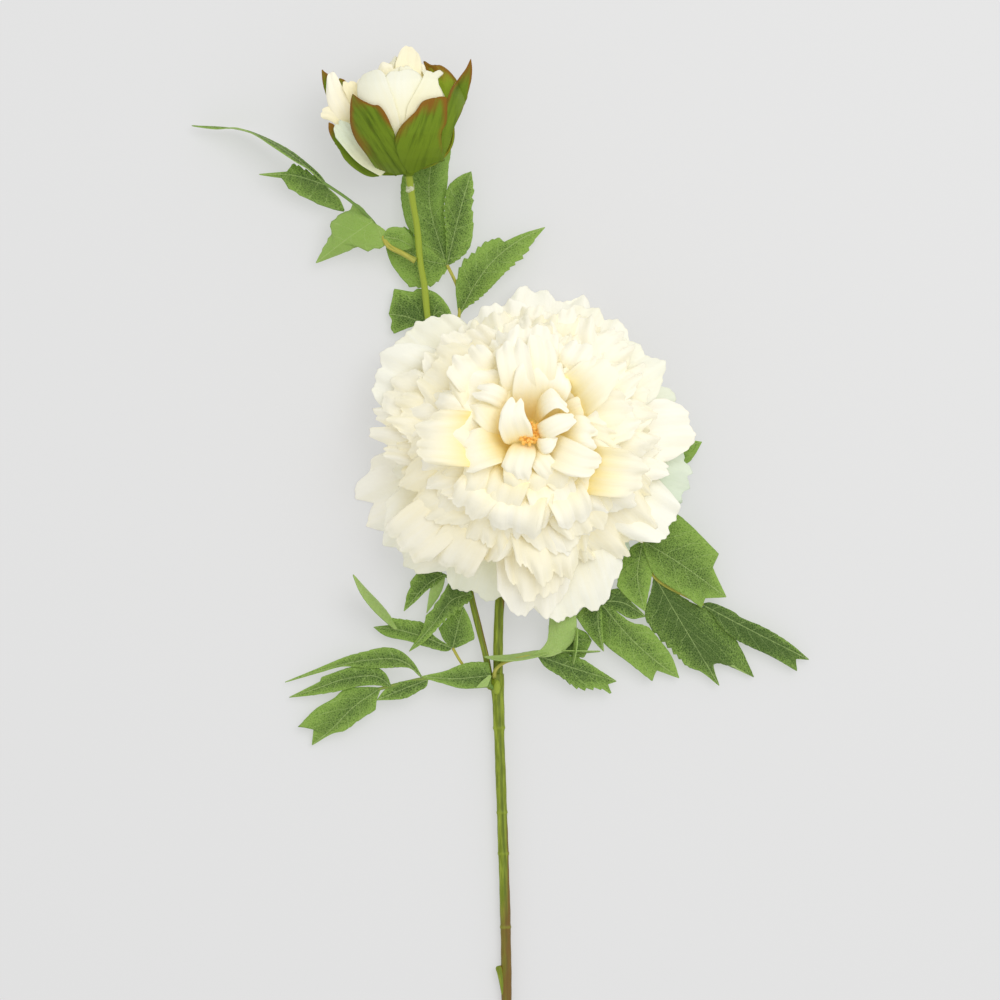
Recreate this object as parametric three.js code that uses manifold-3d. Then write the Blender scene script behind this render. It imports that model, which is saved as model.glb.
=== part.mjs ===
// An artificial peony stem lying on a table: a main stem with one large open bloom, a side stem with
// one opening bud, and compound leaves. Millimetres, +Z up. The origin is the flat on the underside of
// the main stem where it bends up into the bloom. +Y runs along the stem towards the bloom and the bud.
import * as THREE from 'three';
import Module from 'manifold-3d';

const wasm = await Module();
wasm.setup();

// ---- driving dimensions (mm) ----
const JOINT_GAP = 0.3; // between neighbouring parts that touch
const PETAL_GAP = 0.6; // the same beside thin petals
const LEAF_THICKNESS = 0.7;
const PETAL_THICKNESS = 0.8;
const SEPAL_THICKNESS = 1.0;
const WELD = 0.04; // shorter edges than this are welded after a cut or a join
const PETAL_WELD = 0.3; // the same for thin petals, whose crossings leave many small faces
const TOUCH = 0.01; // corners nearer than this count as touching
const CRUMB = 40; // a smaller piece (mm3) that a cut leaves loose is dropped

const STEM_RADIUS = 2.4;
const STEM_PATH = [
  [-5, -324, 2.4], [-6, -262, 2.8], [-6.6, -212, 3.6], [-8.3, -157, 4.9], [-9.8, -112, 5.8],
  [-10, -77, 5.6], [-9.1, -58, 5.0], [-5.6, -28, 3.2], [-2, -12, 2.1], [0, 0, 2.1], [0.8, 4, 3.8],
  [2, 7.2, 8.5], [2.8, 8, 14], [3, 8, 17.7],
];
const STEM_SEAMS = [-119, -158, -177, -211]; // Y of the moulded rings round the stem
const SEAM_RISE = 0.3;
const SEAM_WIDTH = 1.8;
const STUB = { radius: 1.5, path: [[-6.9, -243, 3.4], [-8.2, -236, 3.8], [-9.8, -229, 4.2]] };

const COLLAR = { outer: 3.3, edge: 2.7, from: -104, to: -93.5, x: -10.4, z: 5.8 };

const BUD_STEM_RADIUS = 1.5;
const BUD_STEM_PATH = [
  [-13.2, -101, 6.2], [-15.6, -86.5, 6.4], [-18.9, -73, 6.6], [-22.3, -59, 6.6], [-29, -20, 5.2],
  [-36, 25, 5.2], [-42.6, 71, 9.2], [-43.9, 84, 11.6], [-45.9, 96, 14.4], [-47.2, 111, 18],
  [-49.3, 123.5, 22.6], [-50.9, 135, 27.7],
];
const GLUE_BLOB = { radius: 2.3, at: [-50.2, 129, 25] };

// The open bloom: petals in rings round a receptacle. Azimuths in degrees, anticlockwise from +X.
const BLOOM_BASE = [3, 8]; // X, Y of the receptacle
const BLOOM_LEAN = [1.6, 8.5]; // how far the top leans in X, Y
const BLOOM_TOP = 84; // height at which the lean is complete
const RECEPTACLE = { radius: 21, topRadius: 12, from: 24, waist: 42, to: 54 };
const CALYX_PROFILE = [[0, 18.2], [3.4, 18.2], [8, 19], [13.5, 21.7], [13.5, 23.7], [0, 23.7]];
const CALYX_SEPALS = {
  count: 6, reach: 34, crest: 20.5, tip: 12, halfWidth: 9, root: { radius: 9, height: 20.6 },
};
// [azimuth, reach, tip height, half width, layer from the lowest up, notch depth]
const GUARD_PETALS = [
  [103, 73, 28, 21, 2, 0.03], [78, 77.5, 0.2, 24, 0, 0.05], [57, 76, 16, 19, 1, 0.02],
  [38, 76.5, 27, 19, 2, 0.06], [20, 75.5, 9, 18, 0, 0.04], [6, 77, 26, 16, 2, 0.03],
  [-6, 74, 15, 17, 1, 0.05], [-19, 74.5, 0.2, 17, 0, 0.04], [-30, 76, 28, 16, 2, 0.03],
  [-43, 66.5, 13, 21, 0, 0.02], [-65, 78.5, 20, 27, 1, 0.03], [-90, 74.5, 28, 21, 2, 0.05],
  [-112, 66.5, 14, 21, 0, 0.03], [-137, 73.5, 19, 26, 1, 0.04], [-164, 78, 0.2, 26, 0, 0.05],
  [174, 70, 15, 19, 1, 0.04], [152, 79, 27, 19, 2, 0.03], [134, 81, 14, 23, 0, 0.05],
];
const GUARD_ROOT = { radius: 8, height: 25.4 };
const LAYER_STEP = 3.2; // height from one layer of outer petals to the next
const RING_ROOT = { radius: 7, height: 28, step: 2 }; // each ring starts that step above the last
const RING_STEP = 4; // every other petal of a ring is that much higher and further in
const PETAL_RINGS = [
  { count: 10, start: 8, reach: 65, crest: 50, tip: 36, halfWidth: 23 },
  { count: 8, start: 24, reach: 55, crest: 66, tip: 52, halfWidth: 22 },
  { count: 8, start: 2, reach: 44, crest: 78, tip: 65, halfWidth: 17 },
  { count: 6, start: 30, reach: 33, crest: 87, tip: 74, halfWidth: 15 },
];
const HEART_ROOT = { radius: 5.5, height: 34 };
// [azimuth, reach, crest, tip, half width] of the upright petals round the stamens
const HEART_PETALS = [
  [112, 26, 92, 84, 10], [145, 20, 90, 80, 8], [172, 12, 88, 77, 7], [-100, 14, 88, 76, 8],
  [-62, 21, 89, 77, 8], [-22, 22, 89, 78, 9], [18, 18, 88, 77, 8], [62, 20, 90, 81, 9],
];
// A petal starts at rootWidth of its width and is full at widest of its length; corner and ruffle are
// how far its corners fall back and its sheet waves; wrap is the radius that its sides bend round.
const PETAL_FORM = { rootWidth: 0.22, widest: 0.72, corner: 0.17, ruffle: 0.05, rows: [0, 0.45, 0.75, 1] };
const PETAL_WRAP = { guard: 160, ring: 45, heart: 16, sepal: 60 };
const STAMENS = {
  count: 12, at: [3.9, 14.5], base: 54.3, padRadius: 3.8, padHeight: 1.6, length: 20, filament: 0.55,
  anther: 0.9,
};

// The bud: cupped petals round an axis that lies almost along +Y, held by green sepals.
const BUD_BASE = [-51, 135.5, 28];
const BUD_AXIS = [-0.08, 1, 0.07];
const BUD_CORE = [[0, 3], [6, 3], [12, 15], [6, 30], [0, 30]];
const BUD_CUP = [[0, -1.6], [2.2, -1.6], [4.6, 0.4], [5.4, 2.7], [0, 2.7]];
const BUD_FORM = {
  rootWidth: 0.3, widest: 0.6, corner: 0.22, ruffle: 0.05, spiral: 1.6, rows: [0, 0.3, 0.55, 0.8, 1],
};
const BUD_RINGS = [
  { count: 5, start: 15, reach: 23, length: 52, halfWidth: 19, belly: 20 },
  { count: 5, start: 50, reach: 16, length: 55, halfWidth: 15, belly: 15 },
  { count: 3, start: 5, reach: 9, length: 53, halfWidth: 10, belly: 9 },
];
const SEPAL_CLEARANCE = 4.4; // the sepals swell that much wider than the petals inside them
// [azimuth round the axis from +X towards +Z, reach, length, half width, belly radius]
const BUD_SEPALS = [
  [128, 21, 34, 10.5, 22], [62, 20, 35, 11.5, 22], [8, 29, 52, 9.5, 20], [-38, 26, 50, 11, 22],
  [-92, 26, 43, 12, 24], [-140, 29, 44, 11, 25], [176, 34, 47, 8.5, 26],
];

// Compound leaves, seen from above: each leaflet has its rib from base to tip, with heights, and the
// outline of its left and right side from base to tip. fold is how steeply the sides drop from the
// rib, and stand is the half height of a leaflet that stands on edge.
const LEAVES = {
  upper_left: {
    stalks: [
      { radius: 1.1, path: [[-48, 96, 15.2], [-54, 99.5, 15.2], [-60.5, 103, 15], [-63, 107.5, 15]] },
      { radius: 0.8, path: [[-63, 107, 15], [-68, 114.5, 17.2], [-77.5, 123, 20.6], [-90.5, 132, 19]] },
    ],
    leaflets: {
      spear: {
        rib: [
          [-89.5, 131.5, 19], [-105, 144.5, 17.5], [-121, 154, 13.5], [-133, 157.5, 9], [-151.5, 159, 5],
        ],
        left: [[-96, 137], [-103.5, 141.5], [-114, 148.5], [-121.5, 153.5], [-130, 157], [-140, 157]],
        right: [[-91.5, 135], [-98, 141], [-106.5, 147.5], [-120, 154.5], [-129, 157.5], [-140, 158]],
        fold: 0.1, stand: 7,
      },
      folded: {
        rib: [[-88.5, 130.5, 19], [-105, 135.5, 15], [-120, 136, 12]],
        left: [
          [-88.5, 129.5], [-83, 124.5], [-80.5, 119], [-83.5, 119.5], [-91.5, 122], [-97, 124.5],
          [-106.5, 129.5], [-106.5, 134],
        ],
        right: [[-92, 133.5], [-98, 137.5], [-104, 141], [-106, 138.5], [-107, 137]],
        fold: 0.35,
      },
      lower: {
        rib: [[-67.5, 114, 18.3], [-78, 107, 17], [-94, 95.5, 8]],
        left: [
          [-61.5, 109.5], [-60.5, 104], [-63.5, 102.5], [-70, 100.5], [-73, 104], [-77.5, 101.5],
          [-85.5, 98.5],
        ],
        right: [
          [-68.5, 115.5], [-73, 121], [-76.5, 123], [-78, 119.5], [-82, 118], [-87.5, 113],
          [-86.5, 109.5], [-89.5, 104],
        ],
        fold: 0.2,
      },
      inner: {
        rib: [[-62.5, 107, 16.4], [-56, 106, 14], [-49, 102.5, 10.5]],
        left: [[-61.5, 110], [-59.5, 111.5], [-53.5, 111.5], [-50, 107.5]],
        right: [[-60.5, 104], [-54.5, 101]],
        fold: 0.1,
      },
    },
  },
  upper_back: {
    stalks: [
      {
        radius: 0.9,
        path: [[-38, 52, 8.2], [-32, 59.5, 8], [-28, 71.5, 8.5], [-28.5, 83, 8.5], [-33.5, 94.5, 9]],
      },
    ],
    leaflets: {
      tall: {
        rib: [[-34, 94.5, 9], [-41.5, 122, 7], [-41, 140.5, 3.6], [-35, 154, 1.2]],
        left: [
          [-38.5, 98.5], [-46.5, 106], [-52, 112.5], [-55, 127], [-54.5, 134.5], [-52, 142.5],
          [-45, 150.5],
        ],
        right: [[-33.5, 106], [-35, 122], [-33.5, 131.5], [-33, 140.5], [-32, 148]],
        fold: 0.06,
      },
      rightLobe: {
        rib: [[-33.5, 95, 9], [-29.5, 111.5, 12], [-26, 125, 12], [-22.5, 137.5, 9]],
        left: [[-34, 105], [-35, 121.5], [-33, 130.5], [-27.5, 135.5]],
        right: [[-32.5, 94.5], [-26.5, 98.5], [-23, 103], [-21.5, 111.5], [-22, 121.5], [-21.5, 129]],
        fold: 0.2,
      },
      leftLobe: {
        rib: [[-33.5, 94.5, 9], [-47, 98, 8], [-62.5, 110, 6]],
        left: [
          [-33, 93], [-36, 89], [-39.5, 85.5], [-43, 84.5], [-51, 84.5], [-54.5, 88.5], [-59.5, 95.5],
          [-61.5, 101.5],
        ],
        right: [[-38.5, 100.5], [-46.5, 106], [-51.5, 111.5], [-59.5, 111.5]],
        fold: 0.1,
      },
      blade: {
        rib: [[-28, 71.5, 8.5], [-20.5, 85.5, 13], [-12, 96.5, 14], [0, 106, 11], [11.5, 112, 6]],
        left: [
          [-29, 77.5], [-29.5, 84.5], [-26.5, 95.5], [-22, 99.5], [-17, 104], [-9.5, 107], [-8, 104.5],
          [0.5, 108.5],
        ],
        right: [[-26, 73.5], [-17.5, 80], [-6, 91.5], [1.5, 98.5], [7, 106.5]],
        fold: 0.25,
      },
    },
  },
  upper_low: {
    stalks: [
      { radius: 0.8, path: [[-40, 53.5, 7.2], [-42, 60.5, 6.8], [-43, 68, 7]] },
    ],
    leaflets: {
      left: {
        rib: [[-43, 67, 7], [-53, 71, 6], [-60.5, 72, 4]],
        left: [[-43.5, 66], [-48, 66.5], [-58, 63], [-59.5, 65], [-59, 69]],
        right: [[-42.5, 76], [-43, 83.5], [-51, 83], [-58, 83.5]],
        fold: 0.08,
      },
      right: {
        rib: [[-43, 67, 7], [-37, 73, 8], [-30.5, 68.5, 5]],
        left: [[-43, 75.5], [-42.5, 83.5], [-38.5, 81.5], [-33.5, 76]],
        right: [[-37, 66]],
        fold: 0.1,
      },
    },
  },
  right_small: {
    stalks: [
      { radius: 0.8, path: [[-1, -9.5, 2.8], [18.5, -5.5, 5], [38.5, -0.5, 6.5]] },
    ],
    leaflets: {
      tip: {
        rib: [[37.5, -0.5, 6.5], [62, 6.5, 6.5], [84, 13, 5]],
        left: [[47, 6.5], [64.5, 13.5], [76.5, 14]],
        right: [[55, -2], [77, 3], [80, 6]],
        fold: 0.1,
      },
    },
  },
  right: {
    stalks: [
      { radius: 1.0, path: [[-3.5, -40, 4.6], [14, -44, 7], [36.5, -60.5, 9.5]] },
      {
        radius: 0.8,
        path: [[13.5, -44, 7], [41.5, -37, 8.5], [56, -37.5, 10], [62, -49.5, 10], [84.5, -62, 8]],
      },
      { radius: 0.7, path: [[56, -38, 10], [57, -32.5, 12.5]] },
    ],
    leaflets: {
      broad: {
        rib: [[56.5, -32.5, 12.5], [73.5, -43, 14], [95, -58.5, 9]],
        left: [[60.5, -25.5], [72, -20], [76.5, -23.5], [91.5, -38.5], [88.5, -44.5], [91, -50]],
        right: [[58.5, -41.5], [62.5, -49], [76, -58], [83.5, -63.5], [85, -59]],
        fold: 0.12,
      },
      broadSide: {
        rib: [[56.5, -32.5, 12.5], [54, -48.5, 12], [57.5, -65, 8.5]],
        left: [[61, -39.5], [60.5, -49.5], [59, -57.5]],
        right: [[50.5, -36], [46.5, -43], [44.5, -53.5], [49.5, -59]],
        fold: 0.15,
      },
      dark: {
        rib: [[62, -49, 9.5], [71.5, -65.5, 9.5], [81.5, -82, 7.5], [92, -99.5, 4]],
        left: [
          [70, -55], [80, -61.5], [88, -65], [99.5, -78], [108.5, -96], [101, -90], [95, -85], [88, -85],
          [89.5, -92],
        ],
        right: [[60.5, -55.5], [57.5, -66], [59.5, -71.5], [68.5, -81.5], [78, -91], [83.5, -93]],
        fold: 0.18,
      },
      far: {
        rib: [[84, -62, 7.5], [100, -70.5, 8.5], [117.5, -79.5, 7], [133.5, -87.5, 3.5]],
        left: [[87.5, -61], [99.5, -66], [101, -67.5], [112.5, -72.5], [124, -79.5]],
        right: [[88, -65.5], [92, -71.5], [99.5, -78], [116, -86], [128, -93], [127, -87]],
        fold: 0.2,
      },
      near: {
        rib: [[36.5, -60.5, 9], [51, -77.5, 9.5], [62, -87.5, 7.5], [73.5, -96, 4]],
        left: [[43, -64], [51, -70], [58.5, -72], [64.5, -78.5], [70, -86]],
        right: [[36.5, -69], [37.5, -78], [51, -89.5], [61, -97.5], [62.5, -92]],
        fold: 0.18,
      },
      short: {
        rib: [[37, -60.5, 9.5], [47, -61, 9.5], [58, -67.5, 7.5]],
        left: [[40.5, -55.5], [45.5, -54.5], [50.5, -60]],
        right: [[43, -64], [51, -68.5]],
        fold: 0.1,
      },
      drop: {
        rib: [[36, -60.5, 10], [36, -71.5, 13], [38.5, -83.5, 10]],
        left: [[37.5, -65.5], [38, -75]],
        right: [[30.5, -62], [25.5, -67.5], [33, -77.5]],
        fold: 0.2,
      },
    },
  },
  front_right: {
    stalks: [
      {
        radius: 0.95,
        path: [
          [-11.5, -98, 9.2], [-11.5, -94.5, 10.4], [-10, -91, 11.8], [-7, -89, 12.6], [-3, -87.5, 13],
          [2, -86, 13.2], [8.5, -84.5, 12.8],
        ],
      },
    ],
    leaflets: {
      sliver: {
        rib: [[2, -86.5, 13.2], [-7, -87, 13.5], [-16.5, -86, 12.5]],
        left: [[-2, -88.5], [-9, -89]],
        right: [[-3.5, -85], [-11.5, -85]],
        fold: 0.0, stand: 5,
      },
      rising: {
        rib: [[5.5, -85.5, 13], [14.5, -82, 14.5], [20, -73, 14.5], [21, -63.5, 13]],
        left: [[9.5, -82.5], [12.5, -78.5], [13.5, -69.5], [14.5, -63.5]],
        right: [[12.5, -86], [19.5, -83.5], [25, -77.5], [26, -70], [25.5, -64.5]],
        fold: 0.2,
      },
      dark: {
        rib: [[8.5, -85.5, 12.5], [25.5, -91.5, 11], [44.5, -97.5, 4.5]],
        left: [[15, -83.5], [28.5, -87], [35.5, -91.5]],
        right: [[11.5, -90.5], [18.5, -95], [26.5, -100.5], [37, -101], [42.5, -103.5], [40, -99]],
        fold: 0.2,
      },
      edgeOn: {
        rib: [[16.5, -83.5, 12.6], [27.5, -83.5, 12], [37, -83.5, 10]],
        left: [[26.5, -83]],
        right: [[26.5, -84.5]],
        fold: 0.0, stand: 5,
      },
      hanging: {
        rib: [[26, -72.5, 14], [25, -82, 14], [24.5, -89.5, 11.5]],
        left: [[26, -82]],
        right: [[24, -82]],
        fold: 0.0, stand: 5,
      },
      back: {
        rib: [[18.5, -83.5, 11.5], [25.5, -78.5, 10.5], [33, -78.5, 8]],
        left: [[21.5, -78], [26.5, -73], [30.5, -75]],
        right: [[24, -85.5], [29.5, -86.5]],
        fold: 0.1,
      },
    },
  },
  lower_left: {
    stalks: [
      {
        radius: 0.9,
        path: [
          [-12, -100.5, 7.5], [-16.5, -98, 8.8], [-22, -97, 9.6], [-32, -96.5, 10.4], [-44, -96, 10.8],
          [-53.5, -98, 10], [-65.5, -101, 9.4],
        ],
      },
    ],
    leaflets: {
      near: {
        rib: [[-13.5, -94.5, 10.8], [-29.5, -96, 12.2], [-45.5, -95, 11.6]],
        left: [[-13.5, -100], [-27, -100.5], [-34.5, -98.5], [-41.5, -96.5]],
        right: [[-14.5, -88.5], [-22, -88.5], [-27, -89.5], [-34.5, -92.5], [-41.5, -94]],
        fold: 0.2,
      },
      long: {
        rib: [
          [-45.5, -95, 11.6], [-54.5, -87.5, 16], [-71, -87.5, 13], [-92, -92.5, 7], [-108.5, -98, 2.5],
        ],
        left: [[-51, -91], [-62, -91], [-71, -91], [-81.5, -90.5], [-92.5, -93.5]],
        right: [[-49, -88.5], [-55, -83], [-62, -81.5], [-71, -83.5], [-80, -86], [-94.5, -92]],
        fold: 0.25,
      },
      middle: {
        rib: [
          [-59.5, -99.5, 10.4], [-66, -95, 12.5], [-80, -96, 11], [-93, -100.5, 7], [-106.5, -105, 2.5],
        ],
        left: [[-66.5, -99], [-74, -99.5], [-82, -101.5], [-93, -103.5]],
        right: [[-61, -95], [-63.5, -92], [-71, -89.5], [-77, -90.5], [-91.5, -95.5], [-92, -97.5]],
        fold: 0.2,
      },
      low: {
        rib: [[-64.5, -100.5, 10], [-76.5, -109, 10], [-87, -119.5, 7], [-96, -127, 2.5]],
        left: [[-66, -106], [-66.5, -110.5], [-74.5, -115.5], [-80.5, -120], [-86.5, -121.5]],
        right: [[-74, -100], [-81.5, -101.5], [-85.5, -105], [-94, -110], [-102.5, -118.5], [-95, -118]],
        fold: 0.18,
      },
      bridge: {
        rib: [[-42.5, -96.5, 11.4], [-53, -100.5, 11], [-66, -106, 8.5]],
        left: [[-43, -99.5], [-47, -102], [-52.5, -105]],
        right: [[-52.5, -97], [-60.5, -99.5]],
        fold: 0.15,
      },
    },
  },
  mid_left: {
    stalks: [
      { radius: 0.8, path: [[-13, -101, 5.4], [-19.5, -97, 6.8], [-26.5, -89.5, 8], [-31, -82, 9]] },
    ],
    leaflets: {
      rightLobe: {
        rib: [[-31, -82, 9], [-29, -73.5, 10], [-26, -63, 9.5]],
        left: [[-35, -78.5], [-37.5, -73], [-34, -69], [-29, -64]],
        right: [[-28.5, -81.5], [-21, -78], [-21, -76.5], [-23, -69]],
        fold: 0.15,
      },
      leftLobe: {
        rib: [[-31.5, -82, 9], [-44, -77, 10], [-56.5, -73.5, 8], [-67.5, -72.5, 4.5]],
        left: [[-33.5, -83.5], [-44.5, -81], [-50.5, -79], [-62, -76.5]],
        right: [[-39.5, -76.5], [-44.5, -70.5], [-49, -69.5], [-60.5, -68], [-60, -71.5]],
        fold: 0.2,
      },
      whip: {
        rib: [[-57, -73.5, 8], [-64, -64.5, 12], [-71, -55.5, 16.5], [-76.5, -48, 21]],
        left: [[-60, -71.5], [-67.5, -64], [-73, -56.5]],
        right: [[-60.5, -66.5], [-65, -61], [-71, -54.5]],
        fold: 0.0, stand: 6,
      },
    },
  },
  under_bloom: {
    stalks: [
      {
        radius: 0.8,
        path: [[-22.5, -59, 9.4], [-24, -55, 10.2], [-29.5, -51.5, 10.8], [-35.5, -48, 11]],
      },
    ],
    leaflets: {
      front: {
        rib: [[-23, -57, 10], [-31.5, -60, 13], [-40, -71, 13.5], [-51, -83.5, 10]],
        left: [[-21.5, -58.5], [-27, -63.5], [-34.5, -69.5], [-39.5, -74.5], [-44.5, -79.5]],
        right: [
          [-23, -54], [-26.5, -53.5], [-30, -49.5], [-31, -47.5], [-34.5, -55], [-39.5, -62.5],
          [-43.5, -68.5], [-44.5, -73],
        ],
        fold: 0.12,
      },
      left: {
        rib: [[-35, -48, 11], [-42.5, -52.5, 11], [-53.5, -65, 8]],
        left: [[-38.5, -52.5], [-43, -55.5], [-47.5, -60]],
        right: [[-39.5, -44.5], [-45.5, -43], [-49, -49.5], [-51.5, -56]],
        fold: 0.12,
      },
      strip: {
        rib: [[-35, -48, 10.5], [-39, -55, 10], [-43, -66, 8]],
        left: [[-34.5, -50], [-36.5, -56.5]],
        right: [[-38, -49], [-41, -54], [-42.5, -61.5]],
        fold: 0.1,
      },
    },
  },
};

const COLOURS = {
  stem: 0x788f34, collar: 0xb6b84a, glue: 0x6d6b4a, petal: 0xf6f0dc, stamen: 0xe6a63a, leaf: 0x63903a,
  sepal: 0x66893a,
};

// ---- helpers ----
const vector = ([x, y, z]) => new THREE.Vector3(x, y, z);
const radians = THREE.MathUtils.degToRad;
const smoothCurve = (path) => new THREE.CatmullRomCurve3(path.map(vector), false, 'centripetal');

/** A repeatable number from 0 to 1 for a seed. */
function chance(seed) {
  const wave = Math.sin(seed * 12.9898 + 4.1414) * 43758.5453;
  return wave - Math.floor(wave);
}

/** A closed solid from flat lists of coordinates and corners. */
function solidFrom(positions, corners) {
  const mesh = new wasm.Mesh({
    numProp: 3,
    vertProperties: new Float32Array(positions),
    triVerts: new Uint32Array(corners),
  });
  return new wasm.Manifold(mesh);
}

/** Joins solids that run into each other and keeps the one body that they make. */
function fuse(solids, weld = WELD) {
  return oneBody(wasm.Manifold.union(solids), weld);
}

/** Corners closer together than TOUCH that no edge joins are moved apart, each towards its own faces. */
function unpinched(mesh) {
  const { vertProperties: place, triVerts } = mesh;
  const order = steps(0, place.length / 3 - 1, place.length / 3 - 1);
  order.sort((a, b) => place[3 * a] - place[3 * b]);
  const apart = (a, b, axis) => Math.abs(place[3 * a + axis] - place[3 * b + axis]);
  const near = (a, b) => [0, 1, 2].every((axis) => apart(a, b, axis) < TOUCH);
  const pinched = new Set();
  order.forEach((a, i) => {
    for (let j = i + 1; j < order.length && place[3 * order[j]] - place[3 * a] < TOUCH; j += 1) {
      if (near(a, order[j])) pinched.add(a).add(order[j]);
    }
  });
  const moves = new Map([...pinched].map((corner) => [corner, new THREE.Vector3()]));
  for (let k = 0; k < triVerts.length; k += 3) {
    for (let side = 0; side < 3; side += 1) {
      const [a, b] = [triVerts[k + side], triVerts[k + ((side + 1) % 3)]];
      if (moves.has(a)) {
        const reach = [0, 1, 2].map((axis) => place[3 * b + axis] - place[3 * a + axis]);
        moves.get(a).add(vector(reach));
      }
    }
  }
  moves.forEach((move, corner) => {
    move.setLength(3 * TOUCH).toArray().forEach((value, axis) => {
      place[3 * corner + axis] += value;
    });
  });
  return new wasm.Manifold(mesh);
}

/** The largest body of a solid: sealed hollows are filled and crumbs left by a cut are dropped. */
function oneBody(solid, weld = WELD) {
  const bodies = unpinched(solid.simplify(weld).getMesh()).decompose();
  bodies.sort((a, b) => b.volume() - a.volume());
  for (const body of bodies.slice(1)) {
    if (body.volume() > CRUMB) {
      const box = body.boundingBox();
      throw new Error(`a loose body of ${body.volume().toFixed(1)} mm3 at ${box.min} to ${box.max}`);
    }
  }
  return bodies[0];
}

/**
 * A thin closed sheet over surface(u, v), with u along it from 0 to 1 and v across it from -1 to 1.
 * grow widens it all round, its rim included.
 */
function sheet(surface, rows, columns, thickness, grow) {
  const step = 1e-3;
  const positions = [];
  for (const side of [1, -1]) {
    for (const u of rows) {
      for (const v of columns) {
        const along = surface(Math.min(u + step, 1), v).sub(surface(Math.max(u - step, 0), v)).normalize();
        const across = surface(u, Math.min(v + step, 1)).sub(surface(u, Math.max(v - step, -1))).normalize();
        const normal = new THREE.Vector3().crossVectors(across, along).normalize();
        const point = surface(u, v).addScaledVector(normal, side * (thickness / 2 + grow));
        if (u === 0 || u === 1) point.addScaledVector(along, u === 1 ? grow : -grow);
        if (v === -1 || v === 1) point.addScaledVector(across, v * grow);
        positions.push(...point.toArray());
      }
    }
  }
  const width = columns.length;
  const layer = rows.length * width;
  const corners = [];
  for (let i = 0; i < rows.length - 1; i += 1) {
    for (let j = 0; j < width - 1; j += 1) {
      const [a, b, c, d] = [i * width + j, i * width + j + 1, (i + 1) * width + j + 1, (i + 1) * width + j];
      corners.push(a, b, c, a, c, d);
      corners.push(layer + a, layer + c, layer + b, layer + a, layer + d, layer + c);
    }
  }
  const rim = [];
  for (let j = 0; j < width - 1; j += 1) rim.push(j);
  for (let i = 0; i < rows.length - 1; i += 1) rim.push(i * width + width - 1);
  for (let j = width - 1; j > 0; j -= 1) rim.push((rows.length - 1) * width + j);
  for (let i = rows.length - 1; i > 0; i -= 1) rim.push(i * width);
  rim.forEach((p, k) => {
    const q = rim[(k + 1) % rim.length];
    corners.push(p, layer + p, layer + q, p, layer + q, q);
  });
  return solidFrom(positions, corners);
}

/** Even steps from one number to another, both ends included. */
function steps(from, to, count) {
  return Array.from({ length: count + 1 }, (_, k) => from + ((to - from) * k) / count);
}

/** A round tube along a path; radiusAt(t) gives its radius at each stop along it. */
function tube(path, radiusAt, stops, sides = 8) {
  const curve = smoothCurve(path);
  const positions = [];
  const tangent = new THREE.Vector3();
  const side = new THREE.Vector3(1, 0, 0);
  for (const t of stops) {
    curve.getTangentAt(t, tangent);
    side.addScaledVector(tangent, -side.dot(tangent)).normalize();
    const up = new THREE.Vector3().crossVectors(tangent, side);
    const centre = curve.getPointAt(t);
    for (let k = 0; k < sides; k += 1) {
      const turn = (2 * Math.PI * (k + 0.5)) / sides;
      const spoke = side.clone().multiplyScalar(Math.cos(turn)).addScaledVector(up, Math.sin(turn));
      positions.push(...centre.clone().addScaledVector(spoke, radiusAt(t)).toArray());
    }
  }
  const corners = [];
  for (let i = 0; i < stops.length - 1; i += 1) {
    for (let k = 0; k < sides; k += 1) {
      const next = (k + 1) % sides;
      const [a, b] = [i * sides + k, i * sides + next];
      corners.push(a, b, b + sides, a, b + sides, a + sides);
    }
  }
  const last = (stops.length - 1) * sides;
  for (let k = 1; k < sides - 1; k += 1) {
    corners.push(0, k + 1, k, last, last + k, last + k + 1);
  }
  return solidFrom(positions, corners);
}

/** A solid from a three.js geometry that is closed. */
function solidOf(geometry) {
  const welded = new Map();
  const source = geometry.index ? geometry.toNonIndexed() : geometry;
  const place = source.getAttribute('position');
  const positions = [];
  const corners = [];
  for (let k = 0; k < place.count; k += 1) {
    const point = [place.getX(k), place.getY(k), place.getZ(k)];
    const key = point.map((value) => Math.round(value * 1e4)).join();
    if (!welded.has(key)) {
      welded.set(key, welded.size);
      positions.push(...point);
    }
    corners.push(welded.get(key));
  }
  const kept = [];
  for (let k = 0; k < corners.length; k += 3) {
    const [a, b, c] = corners.slice(k, k + 3);
    if (a !== b && b !== c && a !== c) kept.push(a, b, c);
  }
  return solidFrom(positions, kept);
}

/** A closed solid of revolution round +Z; profile holds [radius, height] and ends on the axis. */
function turned(profile, sides) {
  const points = profile.map(([radius, height]) => new THREE.Vector2(radius, height));
  const geometry = new THREE.LatheGeometry(points, sides);
  return solidOf(geometry.rotateX(Math.PI / 2));
}

/** Named mesh of a solid, for the group. */
function part(name, solid, colour, roughness) {
  const { vertProperties, triVerts } = solid.getMesh();
  const geometry = new THREE.BufferGeometry();
  geometry.setAttribute('position', new THREE.BufferAttribute(new Float32Array(vertProperties), 3));
  geometry.setIndex(new THREE.BufferAttribute(new Uint32Array(triVerts), 1));
  geometry.computeVertexNormals();
  const material = new THREE.MeshStandardMaterial({ color: colour, roughness, metalness: 0 });
  const mesh = new THREE.Mesh(geometry, material);
  mesh.name = name;
  return mesh;
}

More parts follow.
